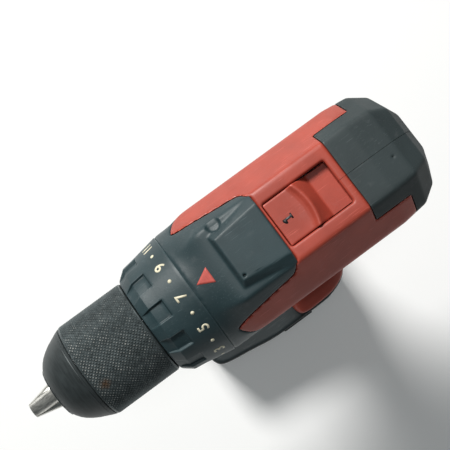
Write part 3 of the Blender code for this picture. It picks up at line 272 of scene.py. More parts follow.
def moulded(name, colour, roughness, grain, scuffs=0.5, worn=1.6, dust_and_corner_shade=0.25):
    """Moulded plastic or rubber: fine grain, worn edges, scuffs and a little dust."""
    f = Finish(name)
    base = f.mix(shade(colour, 0.86), shade(colour, 1.12), f.ramp(f.noise(22.0, 4.0), 0.3, 0.7))
    edge = f.attribute("edge")
    rubbed = f.ramp(edge + (f.noise(2.4, 3.0) - 0.5) * 0.7, 0.35, 0.95)
    base = f.mix(base, shade(colour, worn, 0.02), rubbed * 0.75)
    marks = f.scratches(((0, 0, 24), (10, 35, -37), (40, 0, 78)), scuffs)
    base = f.mix(base, shade(colour, 1.6, 0.05), marks)
    # Painted shade: the colour darkens in corners and creases, where the surface bends inward.
    corner_shade = f.ramp(0.0 - edge + (f.noise(3.5, 4.0) - 0.5) * 0.5, 0.15, 0.8)
    base = f.mix(base, shade(colour, 0.45), corner_shade * dust_and_corner_shade * 2)
    base = f.mix(base, shade(colour, 0.75, 0.07), f.ramp(f.noise(5.0, 5.0), 0.58, 0.8) * dust_and_corner_shade)
    rough = roughness + (f.noise(7.0, 3.0) - 0.5) * 0.16 - rubbed * 0.12
    texture = f.noise(grain, 2.0) + f.cells(grain * 2.2) * 0.6
    normal = f.bump(texture, 0.05, 0.55)
    normal = f.bump(f.noise(16.0, 2.0) - marks * 0.25, 0.12, 0.35, normal)
    f.finish(base, rough, normal)


def steel(name, colour, roughness, brushed=(1, 1, 1), worn=None, metallic=0.85):
    """Machined or blackened steel, with tool lines along two of its axes and worn bright spots."""
    f = Finish(name)
    lines = f.noise(1.6, 3.0, f.stretched(brushed))
    base = f.mix(shade(colour, 0.75), shade(colour, 1.25), f.ramp(lines + f.noise(9.0, 3.0) * 0.5, 0.5, 1.0))
    rough = roughness + (lines - 0.5) * 0.22 + (f.noise(5.0, 4.0) - 0.5) * 0.12
    if worn:
        # Worn bright metal on the knurl's peaks, together with the painted glint along the sleeve's top that its
        # stored values carry.
        wear_and_glint_mask = f.ramp(f.attribute("wear_and_glint") + (f.noise(2.2, 5.0) - 0.5) * 1.1, 0.50, 0.95)
        base = f.mix(base, worn, wear_and_glint_mask)
        stain = f.ramp(f.attribute("stain") + (f.noise(1.5, 4.0) - 0.5) * 0.6, 0.3, 0.9)
        base = f.mix(base, (0.10, 0.048, 0.018), stain * 0.8)
        rough = rough + stain * 0.2 - wear_and_glint_mask * 0.08
    marks = f.scratches(((0, 0, 12), (30, 0, 64)), 0.35, 9.0, 0.25)
    base = f.mix(base, shade(colour, 1.9), marks)
    f.finish(base, rough, f.bump(lines - marks * 0.4, 0.02, 0.5), metallic)


def painted(name, colour):
    """Printed marks: worn through in specks, with a slightly uneven edge to the colour."""
    f = Finish(name)
    specks = f.ramp(f.noise(0.5, 3.0), 0.62, 0.78)
    base = f.mix(tuple(colour), shade(colour, 0.82), f.ramp(f.noise(2.5, 3.0), 0.4, 0.7))
    base = f.mix(base, shade(colour, 0.35), specks * 0.7)
    f.finish(base, 0.45 + specks * 0.2, f.bump(f.noise(0.35, 2.0), 0.03, 0.4))


def clear_lens():
    f = Finish("clear_lens")
    rings = f.node("ShaderNodeTexWave", {"wave_type": "RINGS", "rings_direction": "Z"},
                   {"Vector": f.place, "Scale": 120.0, "Distortion": 0.0})
    base = f.mix((0.72, 0.76, 0.78), (0.92, 0.94, 0.95), rings)
    f.finish(base, 0.08 + f.noise(2.0) * 0.06, f.bump(rings, 0.1, 0.5),
             **{"IOR": 1.49, "Coat Weight": 0.5})


def windings():
    f = Finish("copper_windings")
    turns = f.node("ShaderNodeTexWave", {"bands_direction": "X"},
                   {"Vector": f.place, "Scale": 420.0, "Distortion": 0.6})
    base = f.mix((0.25, 0.09, 0.03), (0.72, 0.34, 0.15), turns)
    f.finish(base, 0.32 + f.noise(2.0) * 0.15, f.bump(turns, 0.2, 0.6), 0.9)


def cell_wrap():
    f = Finish("cell_wrap")
    base = f.mix((0.03, 0.15, 0.27), (0.06, 0.26, 0.43), f.ramp(f.noise(14.0), 0.3, 0.7))
    f.finish(base, 0.34 + f.noise(4.0) * 0.12, f.bump(f.noise(5.0, 2.0), 0.15, 0.3),
             **{"Coat Weight": 0.4})


def floor_finish(colour):
    f = Finish("pale_floor")
    colour = tuple(colour)
    base = f.mix(shade(colour, 0.985), colour, f.ramp(f.noise(300.0, 3.0), 0.3, 0.7))
    f.finish(base, 0.8 + f.noise(60.0) * 0.05, f.bump(f.noise(1.2, 3.0), 0.02, 0.2),
             **{"Emission Color": colour, "Emission Strength": 0.14})


def make_finishes(colours):
    """Every procedural material."""
    moulded("red_plastic", colours.shell, 0.47, 0.30, 0.55, 1.45, 0.22)
    moulded("black_plastic", colours.cover, 0.50, 0.32, 0.5, 1.55, 0.3)
    moulded("black_rubber", colours.rubber, 0.66, 0.42, 0.4, 1.35, 0.35)
    moulded("pack_plastic", colours.black, 0.52, 0.34, 0.4, 1.6, 0.3)
    moulded("grey_plastic", (0.16, 0.17, 0.18), 0.55, 0.35, 0.2, 1.2, 0.2)
    steel("knurled_steel", colours.dark_steel, 0.40, (1, 1, 1), (0.62, 0.62, 0.58), 0.55)
    steel("nose_steel", shade(colours.dark_steel, 0.5), 0.50, (3.0, 0.3, 0.3), metallic=0.35)
    steel("dark_steel", colours.dark_steel, 0.36, (3.0, 0.3, 0.3))
    steel("bright_steel", (0.50, 0.51, 0.51), 0.30, (3.0, 0.4, 0.4))
    steel("jaw_steel", (0.62, 0.61, 0.57), 0.30, (0.25, 2.5, 2.5))
    steel("aluminium", (0.58, 0.59, 0.60), 0.46, (1.0, 1.0, 1.0))
    painted("cream_paint", colours.paint)
    painted("pointer_paint", colours.pointer)
    painted("black_print", (0.012, 0.012, 0.014))
    clear_lens()
    windings()
    cell_wrap()
    floor_finish(colours.floor)


# ---- making meshes

def add(name, mesh):
    obj = bpy.data.objects.new(name, mesh)
    bpy.context.scene.collection.objects.link(obj)
    return obj


def around(count):
    """Angles of count points, evenly round a circle."""
    return np.linspace(0, 2 * math.pi, count, endpoint=False)


def ring_at(x, radius, angle):
    """Points round the spindle axis; the radius is a number or one for each angle."""
    return np.stack([np.full(len(angle), x), radius * np.cos(angle), radius * np.sin(angle)], 1)


def mesh_of(name, points, faces):
    """An object whose points are in millimetres from the spindle axis."""
    mesh = bpy.data.meshes.new(name)
    co = (np.asarray(points, float) + (0, 0, AXIS_Z)) * MM
    mesh.from_pydata(co.tolist(), [], faces)
    bm = bmesh.new()
    bm.from_mesh(mesh)
    bmesh.ops.recalc_face_normals(bm, faces=bm.faces)
    bm.to_mesh(mesh)
    bm.free()
    return add(name, mesh)


def skin_rings(name, rings, ends=True, closed=False):
    """A surface through rings of equally many points, capped or with its last ring joined to its first."""
    rings = np.asarray(rings, float)
    n, m = rings.shape[:2]
    faces = []
    for i in range(n if closed else n - 1):
        a, b = i * m, (i + 1) % n * m
        faces += [(a + j, a + (j + 1) % m, b + (j + 1) % m, b + j) for j in range(m)]
    if ends and not closed:
        faces += [tuple(range(m))[::-1], tuple(range((n - 1) * m, n * m))]
    return mesh_of(name, rings.reshape(-1, 3), faces)


def turned(name, outline, sides=96):
    """Turns a closed outline of (x, radius) about the spindle axis."""
    return skin_rings(name, [ring_at(x, r, around(sides)) for x, r in outline], closed=True)


def block(name, low, high):
    corners = [(x, y, z) for x in (low[0], high[0]) for y in (low[1], high[1]) for z in (low[2], high[2])]
    faces = [(0, 1, 3, 2), (4, 6, 7, 5), (0, 4, 5, 1), (2, 3, 7, 6), (0, 2, 6, 4), (1, 5, 7, 3)]
    return mesh_of(name, corners, faces)


def sided(name, side, low, high):
    """A block on one side of the drill, its y given as for the left side."""
    y = sorted((side * low[1], side * high[1]))
    return block(name, (low[0], y[0], low[2]), (high[0], y[1], high[2]))


def rod(name, start, end, radius, sides=48, end_radius=None):
    start, end = Vector(start), Vector(end)
    way = (end - start).to_track_quat("Z", "Y").to_matrix()
    rings = []
    for centre, r in ((start, radius), (end, radius if end_radius is None else end_radius)):
        rings.append([centre + way @ Vector((r * math.cos(t), r * math.sin(t), 0))
                      for t in around(sides)])
    return skin_rings(name, rings)


def prism(name, outline, y_low, y_high):
    """An outline of (x, z) drawn out along y."""
    rings = [[(x, y, z) for x, z in outline] for y in (y_low, y_high)]
    return skin_rings(name, rings)


def taken(obj):
    """The object's evaluated mesh, in the frame's own space, with the object and its modifiers gone."""
    bpy.context.view_layer.update()
    mesh = bpy.data.meshes.new_from_object(obj.evaluated_get(bpy.context.evaluated_depsgraph_get()))
    mesh.transform(obj.matrix_world)
    bpy.data.objects.remove(obj)
    return mesh


def settled(obj):
    name = obj.name
    mesh = taken(obj)
    made = add(name, mesh)
    made.name = name
    return made


def carved(obj, operation, *tools, solver="MANIFOLD"):
    for tool in tools:
        step = obj.modifiers.new(operation, "BOOLEAN")
        step.operation, step.solver, step.object = operation, solver, tool
    made = settled(obj)
    for tool in tools:
        bpy.data.objects.remove(tool)
    return made


def cut(obj, *tools):
    return carved(obj, "DIFFERENCE", *tools)


def fused(obj, *tools):
    return carved(obj, "UNION", *tools)


def kept_inside(obj, *tools):
    return carved(obj, "INTERSECT", *tools)


def twin(obj, name):
    return add(name, obj.data.copy())


def remeshed(obj, voxel):
    step = obj.modifiers.new("voxels", "REMESH")
    step.mode, step.voxel_size, step.use_smooth_shade = "VOXEL", voxel * MM, True
    return settled(obj)


def edges_of(mesh):
    ends = np.empty(len(mesh.edges) * 2, np.int64)
    mesh.edges.foreach_get("vertices", ends)
    return ends[0::2], ends[1::2]


def vectors_of(mesh, key):
    values = np.empty(len(mesh.vertices) * 3)
    mesh.vertices.foreach_get(key, values)
    return values.reshape(-1, 3)


def summed(ends, size, to_first=None, to_second=None):
    """What the edges bring to each vertex; the number of its edges if nothing is given."""
    return np.bincount(ends[0], to_first, size) + np.bincount(ends[1], to_second, size)


def relaxed(obj, passes, weight=None, keep=0.5):
    """Moves each vertex towards the mean of its neighbours, by keep and by an optional weight."""
    mesh = obj.data
    a, b = edges_of(mesh)
    co = vectors_of(mesh, "co")
    size = len(co)
    count = summed((a, b), size)
    share = np.full(size, keep) if weight is None else keep * weight(co / MM - (0, 0, AXIS_Z))
    for _ in range(passes):
        total = np.stack([summed((a, b), size, co[b, k], co[a, k]) for k in range(3)], 1)
        co = co + share[:, None] * (total / count[:, None] - co)
    mesh.vertices.foreach_set("co", co.ravel())
    mesh.update()
    return obj


def lightened(obj, share):
    step = obj.modifiers.new("lighten", "DECIMATE")
    step.ratio = share
    return settled(obj)


def mark_edges(mesh, radius=0.9):
    """Stores how sharply the surface bends: above 0 on outer edges, below 0 in corners."""
    a, b = edges_of(mesh)
    co, normal = vectors_of(mesh, "co"), vectors_of(mesh, "normal")
    d = co[a] - co[b]
    bend = ((normal[a] - normal[b]) * d).sum(1) / np.maximum((d * d).sum(1), 1e-10)
    total = summed((a, b), len(co), bend, bend)
    value = np.clip(total / np.maximum(summed((a, b), len(co)), 1) * radius * MM, -1, 1)
    mesh.attributes.new("edge", "FLOAT", "POINT").data.foreach_set("value", value.astype(np.float32))


def piece(obj, finish, body, stands_for=(), smooth=40):
    """Finishes a piece: material, shading, the body that it rides on and the nodes that it stands for."""
    if obj.modifiers:
        obj = settled(obj)
    obj.data.materials.clear()
    obj.data.materials.append(Finish.made[finish])
    obj.data.shade_smooth()
    if smooth:
        obj.data.set_sharp_from_angle(angle=math.radians(smooth))
    if "edge" not in obj.data.attributes:
        mark_edges(obj.data)
    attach(obj, body)
    if stands_for:
        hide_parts(*stands_for)


# ---- the body's form

def ease(value, start, end):
    t = np.clip((value - start) / (end - start), 0, 1)
    return t * t * (3 - 2 * t)


def barrel_radius(x, angle, sharpness=80):
    """Outer radius of the barrel; angle 0 is the left side, 90 degrees the top."""
    low_bulge = 1.8 * ease(x, 2, 14) * (1 - ease(x, 20, 34))
    facets = ((90, TOP), (-90, BOTTOM), (0, HALF_W), (180, HALF_W),
              (36.3, HALF_W + 2.75), (143.7, HALF_W + 2.75),
              (-34.8, HALF_W + 0.6 + low_bulge), (-145.2, HALF_W + 0.6 + low_bulge))
    total = sum(np.maximum(0, np.cos(angle - math.radians(way)) / distance) ** sharpness
                for way, distance in facets)
    faceted = total ** (-1 / sharpness)
    return faceted + (HALF_W - faceted) * ease(x, 24, SEAM_X)


def barrel(name, inset, sides=360):
    angle = around(sides)
    front = SEAM_X + (3 + inset if inset else 0)
    stations = [(x, 1.0) for x in (front, *np.arange(38.5, -47, -1.5))]
    ends = ((-57.0, 0.955), (-64.5, 0.79), (-69.0, 0.52), (REAR_X, 0.2))
    stations += [(x + inset, share) for x, share in ends]
    return skin_rings(name, [
        ring_at(x, (barrel_radius(min(x, SEAM_X), angle) - inset) * share, angle) for x, share in stations])


def through(rows, count):
    """Rows of numbers made smooth: a Catmull-Rom curve through them at count places."""
    rows = np.asarray(rows, float)
    padded = np.vstack([2 * rows[0] - rows[1], rows, 2 * rows[-1] - rows[-2]])
    out = []
    for t in np.linspace(0, len(rows) - 1, count):
        i = min(int(t), len(rows) - 2)
        u = t - i
        p0, p1, p2, p3 = padded[i:i + 4]
        out.append(0.5 * (2 * p1 + (p2 - p0) * u + (2 * p0 - 5 * p1 + 4 * p2 - p3) * u * u
                          + (3 * p1 - p0 - 3 * p2 + p3) * u ** 3))
    return np.array(out)


def handle(name, inset, sides=96):
    rows = [(-14, -11, 27, 20), (-30, -10, 25, 18), (-37, -12, 22, 17), (-50, -16, 19.5, 16.5),
            (-75, -15.8, 19.2, 17.2), (-98, -15, 17.8, 16.5), (HANDLE_LOW, -15.5, 18.2, 17),
            (HANDLE_LOW - 3, -16, 17.5, 16.5)]
    c, s = np.cos(around(sides)), np.sin(around(sides))
    power = 2.6    # 2 is an ellipse, more is squarer
    rings = []
    for z, x, half_x, half_y in through(rows, 50):
        radius = (np.abs(c / (half_x - inset)) ** power + np.abs(s / (half_y - inset)) ** power) ** (-1 / power)
        rings.append(np.stack([x + radius * c, radius * s, np.full(sides, z)], 1))
    return skin_rings(name, rings)


def plan_curve(plan, count=20):
    """One side of an outline from above, made smooth, and its mirror image."""
    side = through(plan, count)
    return np.vstack([side, (side * (1, -1))[::-1]])


def level(plan, half_l, half_w, x, z):
    """An outline from above as a ring of points at height z."""
    return np.column_stack([plan * (half_l, half_w) + (x, 0), np.full(len(plan), z)])


def foot(name, inset):
    roof = FOOT_BOTTOM + 19
    rows = [(roof - inset, 15, 14), (roof - 5 - inset, FOOT_HALF_L - 1, 20),
            (FOOT_BOTTOM + 9 - inset / 2, FOOT_HALF_L - 0.5, FOOT_HALF_W - 5),
            (FOOT_BOTTOM + 5.5, FOOT_HALF_L, FOOT_HALF_W), (FOOT_BOTTOM + 2.5, FOOT_HALF_L, FOOT_HALF_W),
            (FOOT_BOTTOM + inset, FOOT_HALF_L, FOOT_HALF_W)]
    plan = plan_curve(FOOT_PLAN, 28)
    return skin_rings(name, [level(plan, half_l - inset, half_w - inset, FOOT_X, z)
                             for z, half_l, half_w in rows])


def whole_body(name, inset, voxel=None):
    """Barrel, handle and foot as one solid, pulled in by inset."""
    made = fused(barrel(name, inset), handle(name + "_handle", inset), foot(name + "_foot", inset))
    if voxel:
        made = remeshed(made, voxel)

        def joins(p):
            """1 where the handle meets the barrel and the foot, 0 elsewhere."""
            neck = np.exp(-((p[:, 2] + 26 + 4 * (np.abs(p[:, 0] + 10) / 26) ** 2) / 7.0) ** 2)
            base = np.exp(-((p[:, 2] - FOOT_BOTTOM - 16) / 6.0) ** 2)
            return np.clip(neck * (p[:, 0] > -48) * (p[:, 0] < 26) + base, 0, 1)

        relaxed(made, 26, joins)
        relaxed(made, 1)
    made.name = name
    return made


def front_region(grow):
    """The space of the front cover, less the arms of the red housing beside it."""
    low = (COVER_REAR_X - grow, -60, LOBE_TOP)
    region = fused(block("front_region", low, (SEAM_X + 2, 60, 60)),
                   block("front_low", (LOBE_FRONT_X + GAP - grow, -61, -61), (SEAM_X + 1, 61, 0)))
    rows = through([(COVER_REAR_X - 4, 15.0, -4.0), (COVER_REAR_X + 0.4, 15.4, 1.5),
                    (COVER_REAR_X + 2.0, 17.2, 4.5), (COVER_REAR_X + 4.4, 18.6, 6.5), (12, 19.4, 8.0),
                    (22, 20.6, 9.5), (29, 21.5, 12.2), (32.6, 22.2, 15.0), (34.2, 23.0, 17.4)], 49)
    for side in (-1, 1):
        rings = [[(x, side * y, z) for y, z in ((inner + grow, low_z + grow), (60, low_z + grow),
                                                (60, 44), (inner + grow, 44))] for x, inner, low_z in rows]
        region = cut(region, skin_rings("arm_region", rings))
    return region


def rear_region(grow):
    half = PAD_HALF_W + grow
    top = block("rear_region", (REAR_X - 5, -half, 2 - grow), (PAD_FRONT_X + grow, half, 60))
    return fused(top, block("rear_end", (REAR_X - 6, -60, -14 - grow), (REAR_ROUND_X - 1 + grow, 60, 61)))


def grip_region(grow):
    low = block("grip_region", (-60, -60, FOOT_BOTTOM + 21 - grow), (1.5 + grow, 60, -32 + grow))
    front = block("grip_front", (0, -61, FOOT_BOTTOM + 21.5 - grow), (40, 61, -68 + grow))
    lobe = block("grip_lobe", (-4 - grow, -62, -36 - grow), (LOBE_FRONT_X + grow, 62, LOBE_TOP - GAP + grow))
    return fused(low, front, lobe)


def half_space(side):
    return sided("half_space", side, (-120, 0.07, -200), (120, 80.0, 80))


def nearest(obj, place):
    """The closest point of a surface, and the way that it faces there."""
    bpy.context.view_layer.update()
    _, spot, normal, _ = obj.closest_point_on_mesh((Vector(place) + SPINDLE_UP) * MM)
    return spot / MM - SPINDLE_UP, normal


def printed(name, flat, faces, ground, finish, body):
    """A flat shape of (x, y) laid on an object from above, as thin as paint."""
    tree = BVHTree.FromObject(ground, bpy.context.evaluated_depsgraph_get())
    tops = []
    for x, y in flat:
        hit = tree.ray_cast(Vector((x, y, 400)) * MM, Vector((0, 0, -1)))[0]
        tops.append((x, y, hit.z / MM - AXIS_Z + PAINT_OUT))
    tops = np.array(tops)
    piece(thickened(name, tops, tops + (0, 0, PAINT_IN), faces), finish, body, smooth=0)


def moulded_form(obj, sizes, voxel=None, passes=None, share=0.3):
    """Rounds a cut solid's edges as a moulding's are, and thins its mesh out again."""
    obj = remeshed(obj, voxel or sizes.shell_voxel)
    relaxed(obj, sizes.edge_softness if passes is None else passes)
    return lightened(obj, share)


def halves(obj, name, finish, node):
    """Splits a finished moulding along the drill's middle plane into its left and right pieces."""
    for side, word in SIDES:
        half = kept_inside(twin(obj, f"{name}_{word}"), half_space(side))
        piece(half, finish, "housing", [f"{node}_{word}"], smooth=50)
    bpy.data.objects.remove(obj)


def selector_slot():
    return block("selector_slot", (SLOT_FRONT_X - SLOT_LENGTH, -SLOT_HALF_W, 20),
                 (SLOT_FRONT_X, SLOT_HALF_W, 60))


def trigger_slot():
    return block("trigger_slot", (-6, -7.3, -64.3), (40, 7.3, -37.7))


def button_hole():
    return rod("button_hole", (BUTTON_X, -60, BUTTON_Z), (BUTTON_X, 60, BUTTON_Z), BUTTON_R + BUTTON_PLAY)


def lens_hole():
    return rod("lens_hole", (27, 0, -20), (27, 0, -40), 3.3)


def rail_slot():
    rear = -31.1
    neck = block("rail_slot", (rear, -16.5, PACK_ROOF - 0.5), (31, 16.5, PACK_ROOF + 4.2))
    return fused(neck, block("rail_head", (rear, -21.5, PACK_ROOF + 3.2), (31, 21.5, PACK_ROOF + 9.3)))


def build_shells(sizes):
    """The two red housing halves, the front cover, the rear pads and the grips."""
    outer = whole_body("outer", 0, 0.7)
    under = whole_body("under", SKIN)
    shell = whole_body("shell", SHELL_INSET)
    cavity = whole_body("cavity", CAVITY_INSET)

    whole = cut(twin(outer, "whole"), front_region(GAP), rear_region(GAP), grip_region(GAP))
    whole = fused(whole, twin(shell, "inner_shell"))
    whole = cut(whole, cavity, selector_slot(), trigger_slot(), button_hole(), rail_slot())
    whole = cut(whole, block("open_front", (SEAM_X - 1.2, -60, -60), (SEAM_X + 20, 60, 60)), lens_hole())
    for x, z in SCREWS:
        boss = rod("boss", (x, -23 if z > -60 else -15, z), (x, SEAT_Y + 3, z), BOSS_R)
        whole = fused(whole, kept_inside(boss, twin(shell, "limit")))
        whole = cut(whole, rod("seat", (x, -80, z), (x, SEAT_Y, z), SEAT_R))
    vents = [rod("vent", (x, side * 20, z), (x, side * 60, z), VENT_R, 16)
             for x in VENT_X for side in (-1, 1) for z in (-VENT_HALF_H, VENT_HALF_H)]
    vents += [sided("vent_slot", side, (x - VENT_R, 20, -VENT_HALF_H), (x + VENT_R, 60, VENT_HALF_H))
              for x in VENT_X for side in (-1, 1)]
    whole = cut(whole, *vents)
    halves(moulded_form(whole, sizes, share=0.22), "shell", "red_plastic", "housing")

    cover = cut(kept_inside(twin(outer, "nose_cover"), front_region(0)), twin(under, "core"))
    rear = COVER_REAR_X + 0.05
    hump = skin_rings("hump", [
        [(rear, -wide, z), (front, -narrow, z), (front, narrow, z), (rear, wide, z)]
        for z, wide, narrow, front in ((TOP - SKIN + GAP, 16.2, 12.9, 23.8), (TOP - 0.1, 15.7, 12.4, 23.3),
                                       (TOP + 2.7, 11.6, 9.4, 21.9))])
    back, step, tip = SEAM_X - 2.5, SEAM_X + 0.14, SEAM_X + LIP_LENGTH
    lip = turned("seam_lip", [(back, 23.0), (step, 23.0), (step, LIP_LOW_R), (tip, LIP_LOW_R),
                              (tip, LIP_HIGH_R), (back, LIP_HIGH_R)])
    cover = fused(cover, hump, lip)
    centre, outward = nearest(outer, (18.6, -15.6, 33))
    cover = cut(cover, lens_hole(),
                rod("dimple", centre - outward * 1.1, centre + outward * 0.3, 2.7, 48, 3.4),
                rod("dimple_top", centre + outward * 0.25, centre + outward * 5, 3.4),
                rod("pit", (20.4, 8.1, TOP + 1.2), (20.4, 8.1, TOP + 4), 0.65))
    cover = moulded_form(cover, sizes, 0.45, 2, share=0.32)
    piece(cover, "black_plastic", "housing", ["front_cover"], smooth=0)

    pad = cut(kept_inside(twin(outer, "rear_rubber"), rear_region(0)), twin(under, "core"))
    centre, outward = nearest(outer, (-53.6, 5.0, TOP))
    pad = cut(pad, rod("pad_pit", centre - outward * 0.7, centre + outward * 3, 0.7))
    halves(moulded_form(pad, sizes, 0.45, 1), "rear_rubber", "black_rubber", "rear_pad")
    grip = cut(kept_inside(twin(outer, "handle_rubber"), grip_region(0)), twin(under, "core"))
    grip = cut(grip, button_hole(), trigger_slot(),
               *[rod("seat", (x, -80, z), (x, 0, z), SEAT_R) for x, z in SCREWS])
    halves(moulded_form(grip, sizes, 0.5), "handle_rubber", "black_rubber", "grip")
    for spare in (outer, under, shell):
        bpy.data.objects.remove(spare)

    tip_x, length, half_w, rows = 37.2, 6.8, 3.55, 8
    flat = [(tip_x - length * i / rows, half_w * (2 * k / max(i, 1) - 1) * i / rows)
            for i in range(rows + 1) for k in range(i + 1)]
    row = [i * (i + 1) // 2 for i in range(rows + 1)]    # first point of each row
    faces = [(row[i] + k, row[i + 1] + k, row[i + 1] + k + 1) for i in range(rows) for k in range(i + 1)]
    faces += [(row[i] + k, row[i + 1] + k + 1, row[i] + k + 1) for i in range(1, rows) for k in range(i)]
    printed("pointer", flat, faces, cover, "pointer_paint", "housing")

    top, lobe_r = SEAT_Y - 2.6, 1.15
    for i, (x, z) in enumerate(SCREWS, 1):
        head = rod(f"screw_head_{i}", (x, top, z), (x, SEAT_Y - 0.1, z), 2.3, 40, 2.7)
        lobes = [(x + lobe_r * math.cos(t), z + lobe_r * math.sin(t)) for t in around(6)]
        head = cut(head, rod("socket", (x, top - 1, z), (x, top + 1.6, z), lobe_r, 24),
                   *[rod("lobe", (u, top - 1, v), (u, top + 1.6, v), 0.42, 16) for u, v in lobes])
        shank = rod("shank", (x, SEAT_Y - 0.6, z), (x, 7, z), 1.35, 24)
        piece(fused(head, shank), "dark_steel", "housing", [f"housing_screw_{i}"], smooth=30)


# ---- chuck and collar

def build_chuck(sizes):
    """The knurled sleeve, the nose cone and the three jaws."""
    seam = SLEEVE_FRONT_X - 3.2
    start, end = SLEEVE_REAR_X + 1.0, seam - 1.0
    across = int(round(2 * math.pi * SLEEVE_R / sizes.knurl_pitch / 2)) * 2
    rows = int(round((end - start) / sizes.knurl_pitch))
    knurl_depth, glint_at, stain_at, stain_r = 0.30, math.radians(86), math.radians(64), 4.5
    # (x, depth below the sleeve's radius, whether it is knurled)
    profile = [(SLEEVE_REAR_X, 2.4, 0), (SLEEVE_REAR_X, 0.9, 0), (SLEEVE_REAR_X + 0.35, 0.35, 0),
               (start - 0.15, 0.25, 0)]
    profile += [(start + (end - start) * i / rows, 0, 1) for i in range(rows + 1)]
    profile += [(end + 0.12, 0.25, 0), (end + 0.4, 0.12, 0), (seam - 0.25, 0.2, 0), (seam, 0.5, 0),
                (seam, 2.4, 0)]
    points, wear_and_glint, stain = [], [], []
    for i, (x, sunk, cutting) in enumerate(profile):
        for j in range(across):
            t = 2 * math.pi * j / across
            peak = (i + j) % 2 == 0
            r = SLEEVE_R - sunk - (0.0 if peak or not cutting else knurl_depth)
            points.append((x, r * math.cos(t), r * math.sin(t)))
            # Painted glint: the knurl's peaks are brighter along the sleeve's top and towards its front; the even
            # part of the value is worn peaks.
            top = max(0.0, math.cos(t - glint_at)) ** 2
            wear_and_glint.append((0.55 + 0.45 * top * (0.4 + 0.6 * (x - SLEEVE_REAR_X) / 34)) * (peak and cutting))
            turn = (t - stain_at + math.pi) % (2 * math.pi) - math.pi
            stain.append(max(0.0, 1 - math.hypot(x - (SLEEVE_FRONT_X - 8), 21 * turn) / stain_r))
    faces = []
    n = len(profile)
    for i in range(n):
        for j in range(across):
            a, b = i * across + j, i * across + (j + 1) % across
            c, d = (i + 1) % n * across + (j + 1) % across, (i + 1) % n * across + j
            if not (profile[i][2] and profile[(i + 1) % n][2]):
                faces.append((a, b, c, d))
            elif (i + j) % 2 == 0:
                faces += [(a, b, d), (b, c, d)]
            else:
                faces += [(a, b, c), (a, c, d)]
    sleeve = mesh_of("knurled_sleeve", points, faces)
    for name, values in (("wear_and_glint", wear_and_glint), ("stain", stain)):
        stored = sleeve.data.attributes.new(name, "FLOAT", "POINT")
        stored.data.foreach_set("value", np.array(values, np.float32))
    piece(sleeve, "knurled_steel", "sleeve", ["chuck_sleeve"], smooth=25)

    high = NOSE_FRONT_X
    cone = [(SLEEVE_FRONT_X + GAP, 13.7), (SLEEVE_FRONT_X + GAP, 18.4), (seam + 0.2, 19.2)]
    cone += [(seam + x, SLEEVE_R - sunk) for x, sunk in (
        (0.2, 0.75), (0.5, 0.45), (1.4, 0.75), (1.55, 0.98), (1.75, 0.98), (1.9, 0.95))]
    cone += [(high - x, r) for x, r in (
        (12.2, 19.7), (8.7, 18.1), (6.2, 16.6), (4.2, 15.1), (2.8, 13.7), (1.6, 12.1), (0.7, 10.6),
        (0.15, 9.3), (0, 8.4), (0.2, 7.3), (0.6, 7.3), (0.8, 9.0), (3.0, 11.9))]
    piece(turned("nose_cone", cone, 128), "nose_steel", "spindle", ["chuck_nose"], smooth=35)

    front, back = JAW_TIP_X + 4, JAW_TIP_X - JAW_LENGTH * math.cos(JAW_SLOPE)
    near = 0.15 / math.cos(math.radians(30))
    wide, rise = 60 * math.sin(math.radians(60)), near + 60 * math.cos(math.radians(60))
    corners = [(0, near), (wide, rise), (0, 90), (-wide, rise)]

    def middle(x):
        """Height of the first jaw's own axis above the spindle axis."""
        return 3.1 + (JAW_TIP_X - x) * math.tan(JAW_SLOPE) - JAW_R / math.cos(JAW_SLOPE)

    for k in range(3):
        c, s = math.cos(2 * math.pi * k / 3), math.sin(2 * math.pi * k / 3)
        jaw = rod(f"gripping_jaw_{k + 1}", (front, -middle(front) * s, middle(front) * c),
                  (back, -middle(back) * s, middle(back) * c), JAW_R, 56)
        sector = skin_rings("sector", [[(x, y * c - z * s, y * s + z * c) for y, z in corners]
                                       for x in (back - 10, JAW_TIP_X - 0.25)])
        jaw = kept_inside(jaw, sector)
        soft = jaw.modifiers.new("soften", "BEVEL")
        soft.width, soft.segments, soft.limit_method, soft.angle_limit = 0.22 * MM, 2, "ANGLE", math.radians(35)
        piece(jaw, "jaw_steel", f"jaw_{k + 1}", [f"jaw_{k + 1}"], smooth=30)


def collar_radius(x):
    return float(np.interp(x, (COLLAR_REAR_X, COLLAR_REAR_X + 13, COLLAR_FRONT_X - 4.2, COLLAR_FRONT_X),
                           (COLLAR_R, COLLAR_R - 2.3, 25.2, SLEEVE_R + 0.3)))


def rim(faces):
    """The edges that only one face has, each in that face's direction."""
    seen = dict.fromkeys((a, b) for f in faces for a, b in zip(f, f[1:] + f[:1]))
    return [(a, b) for a, b in seen if (b, a) not in seen]


def glyph(text, size, bold=0.13):
    """Outline mesh of a character as (points in millimetres, faces), its centre at 0."""
    curve = bpy.data.curves.new("glyph", "FONT")
    curve.body, curve.size = text, size
    curve.align_x, curve.align_y, curve.resolution_u = "CENTER", "CENTER", 6
    mesh = taken(add("glyph", curve))
    bm = bmesh.new()
    bm.from_mesh(mesh)
    bmesh.ops.triangulate(bm, faces=bm.faces)
    bmesh.ops.subdivide_edges(bm, edges=[e for e in bm.edges if e.calc_length() > size * 0.22], cuts=2)
    bmesh.ops.triangulate(bm, faces=bm.faces)
    points = np.array([v.co[:2] for v in bm.verts])
    faces = [tuple(v.index for v in f.verts) for f in bm.faces]
    bm.free()
    outward = np.zeros_like(points)
    for a, b in rim(faces):
        step = points[b] - points[a]
        outward[[a, b]] += np.array([step[1], -step[0]]) / max(np.hypot(*step), 1e-9)
    length = np.hypot(*outward.T)
    points = points + outward / np.maximum(length, 1e-9)[:, None] * bold
    points -= (points.min(0) + points.max(0)) / 2
    return points, faces


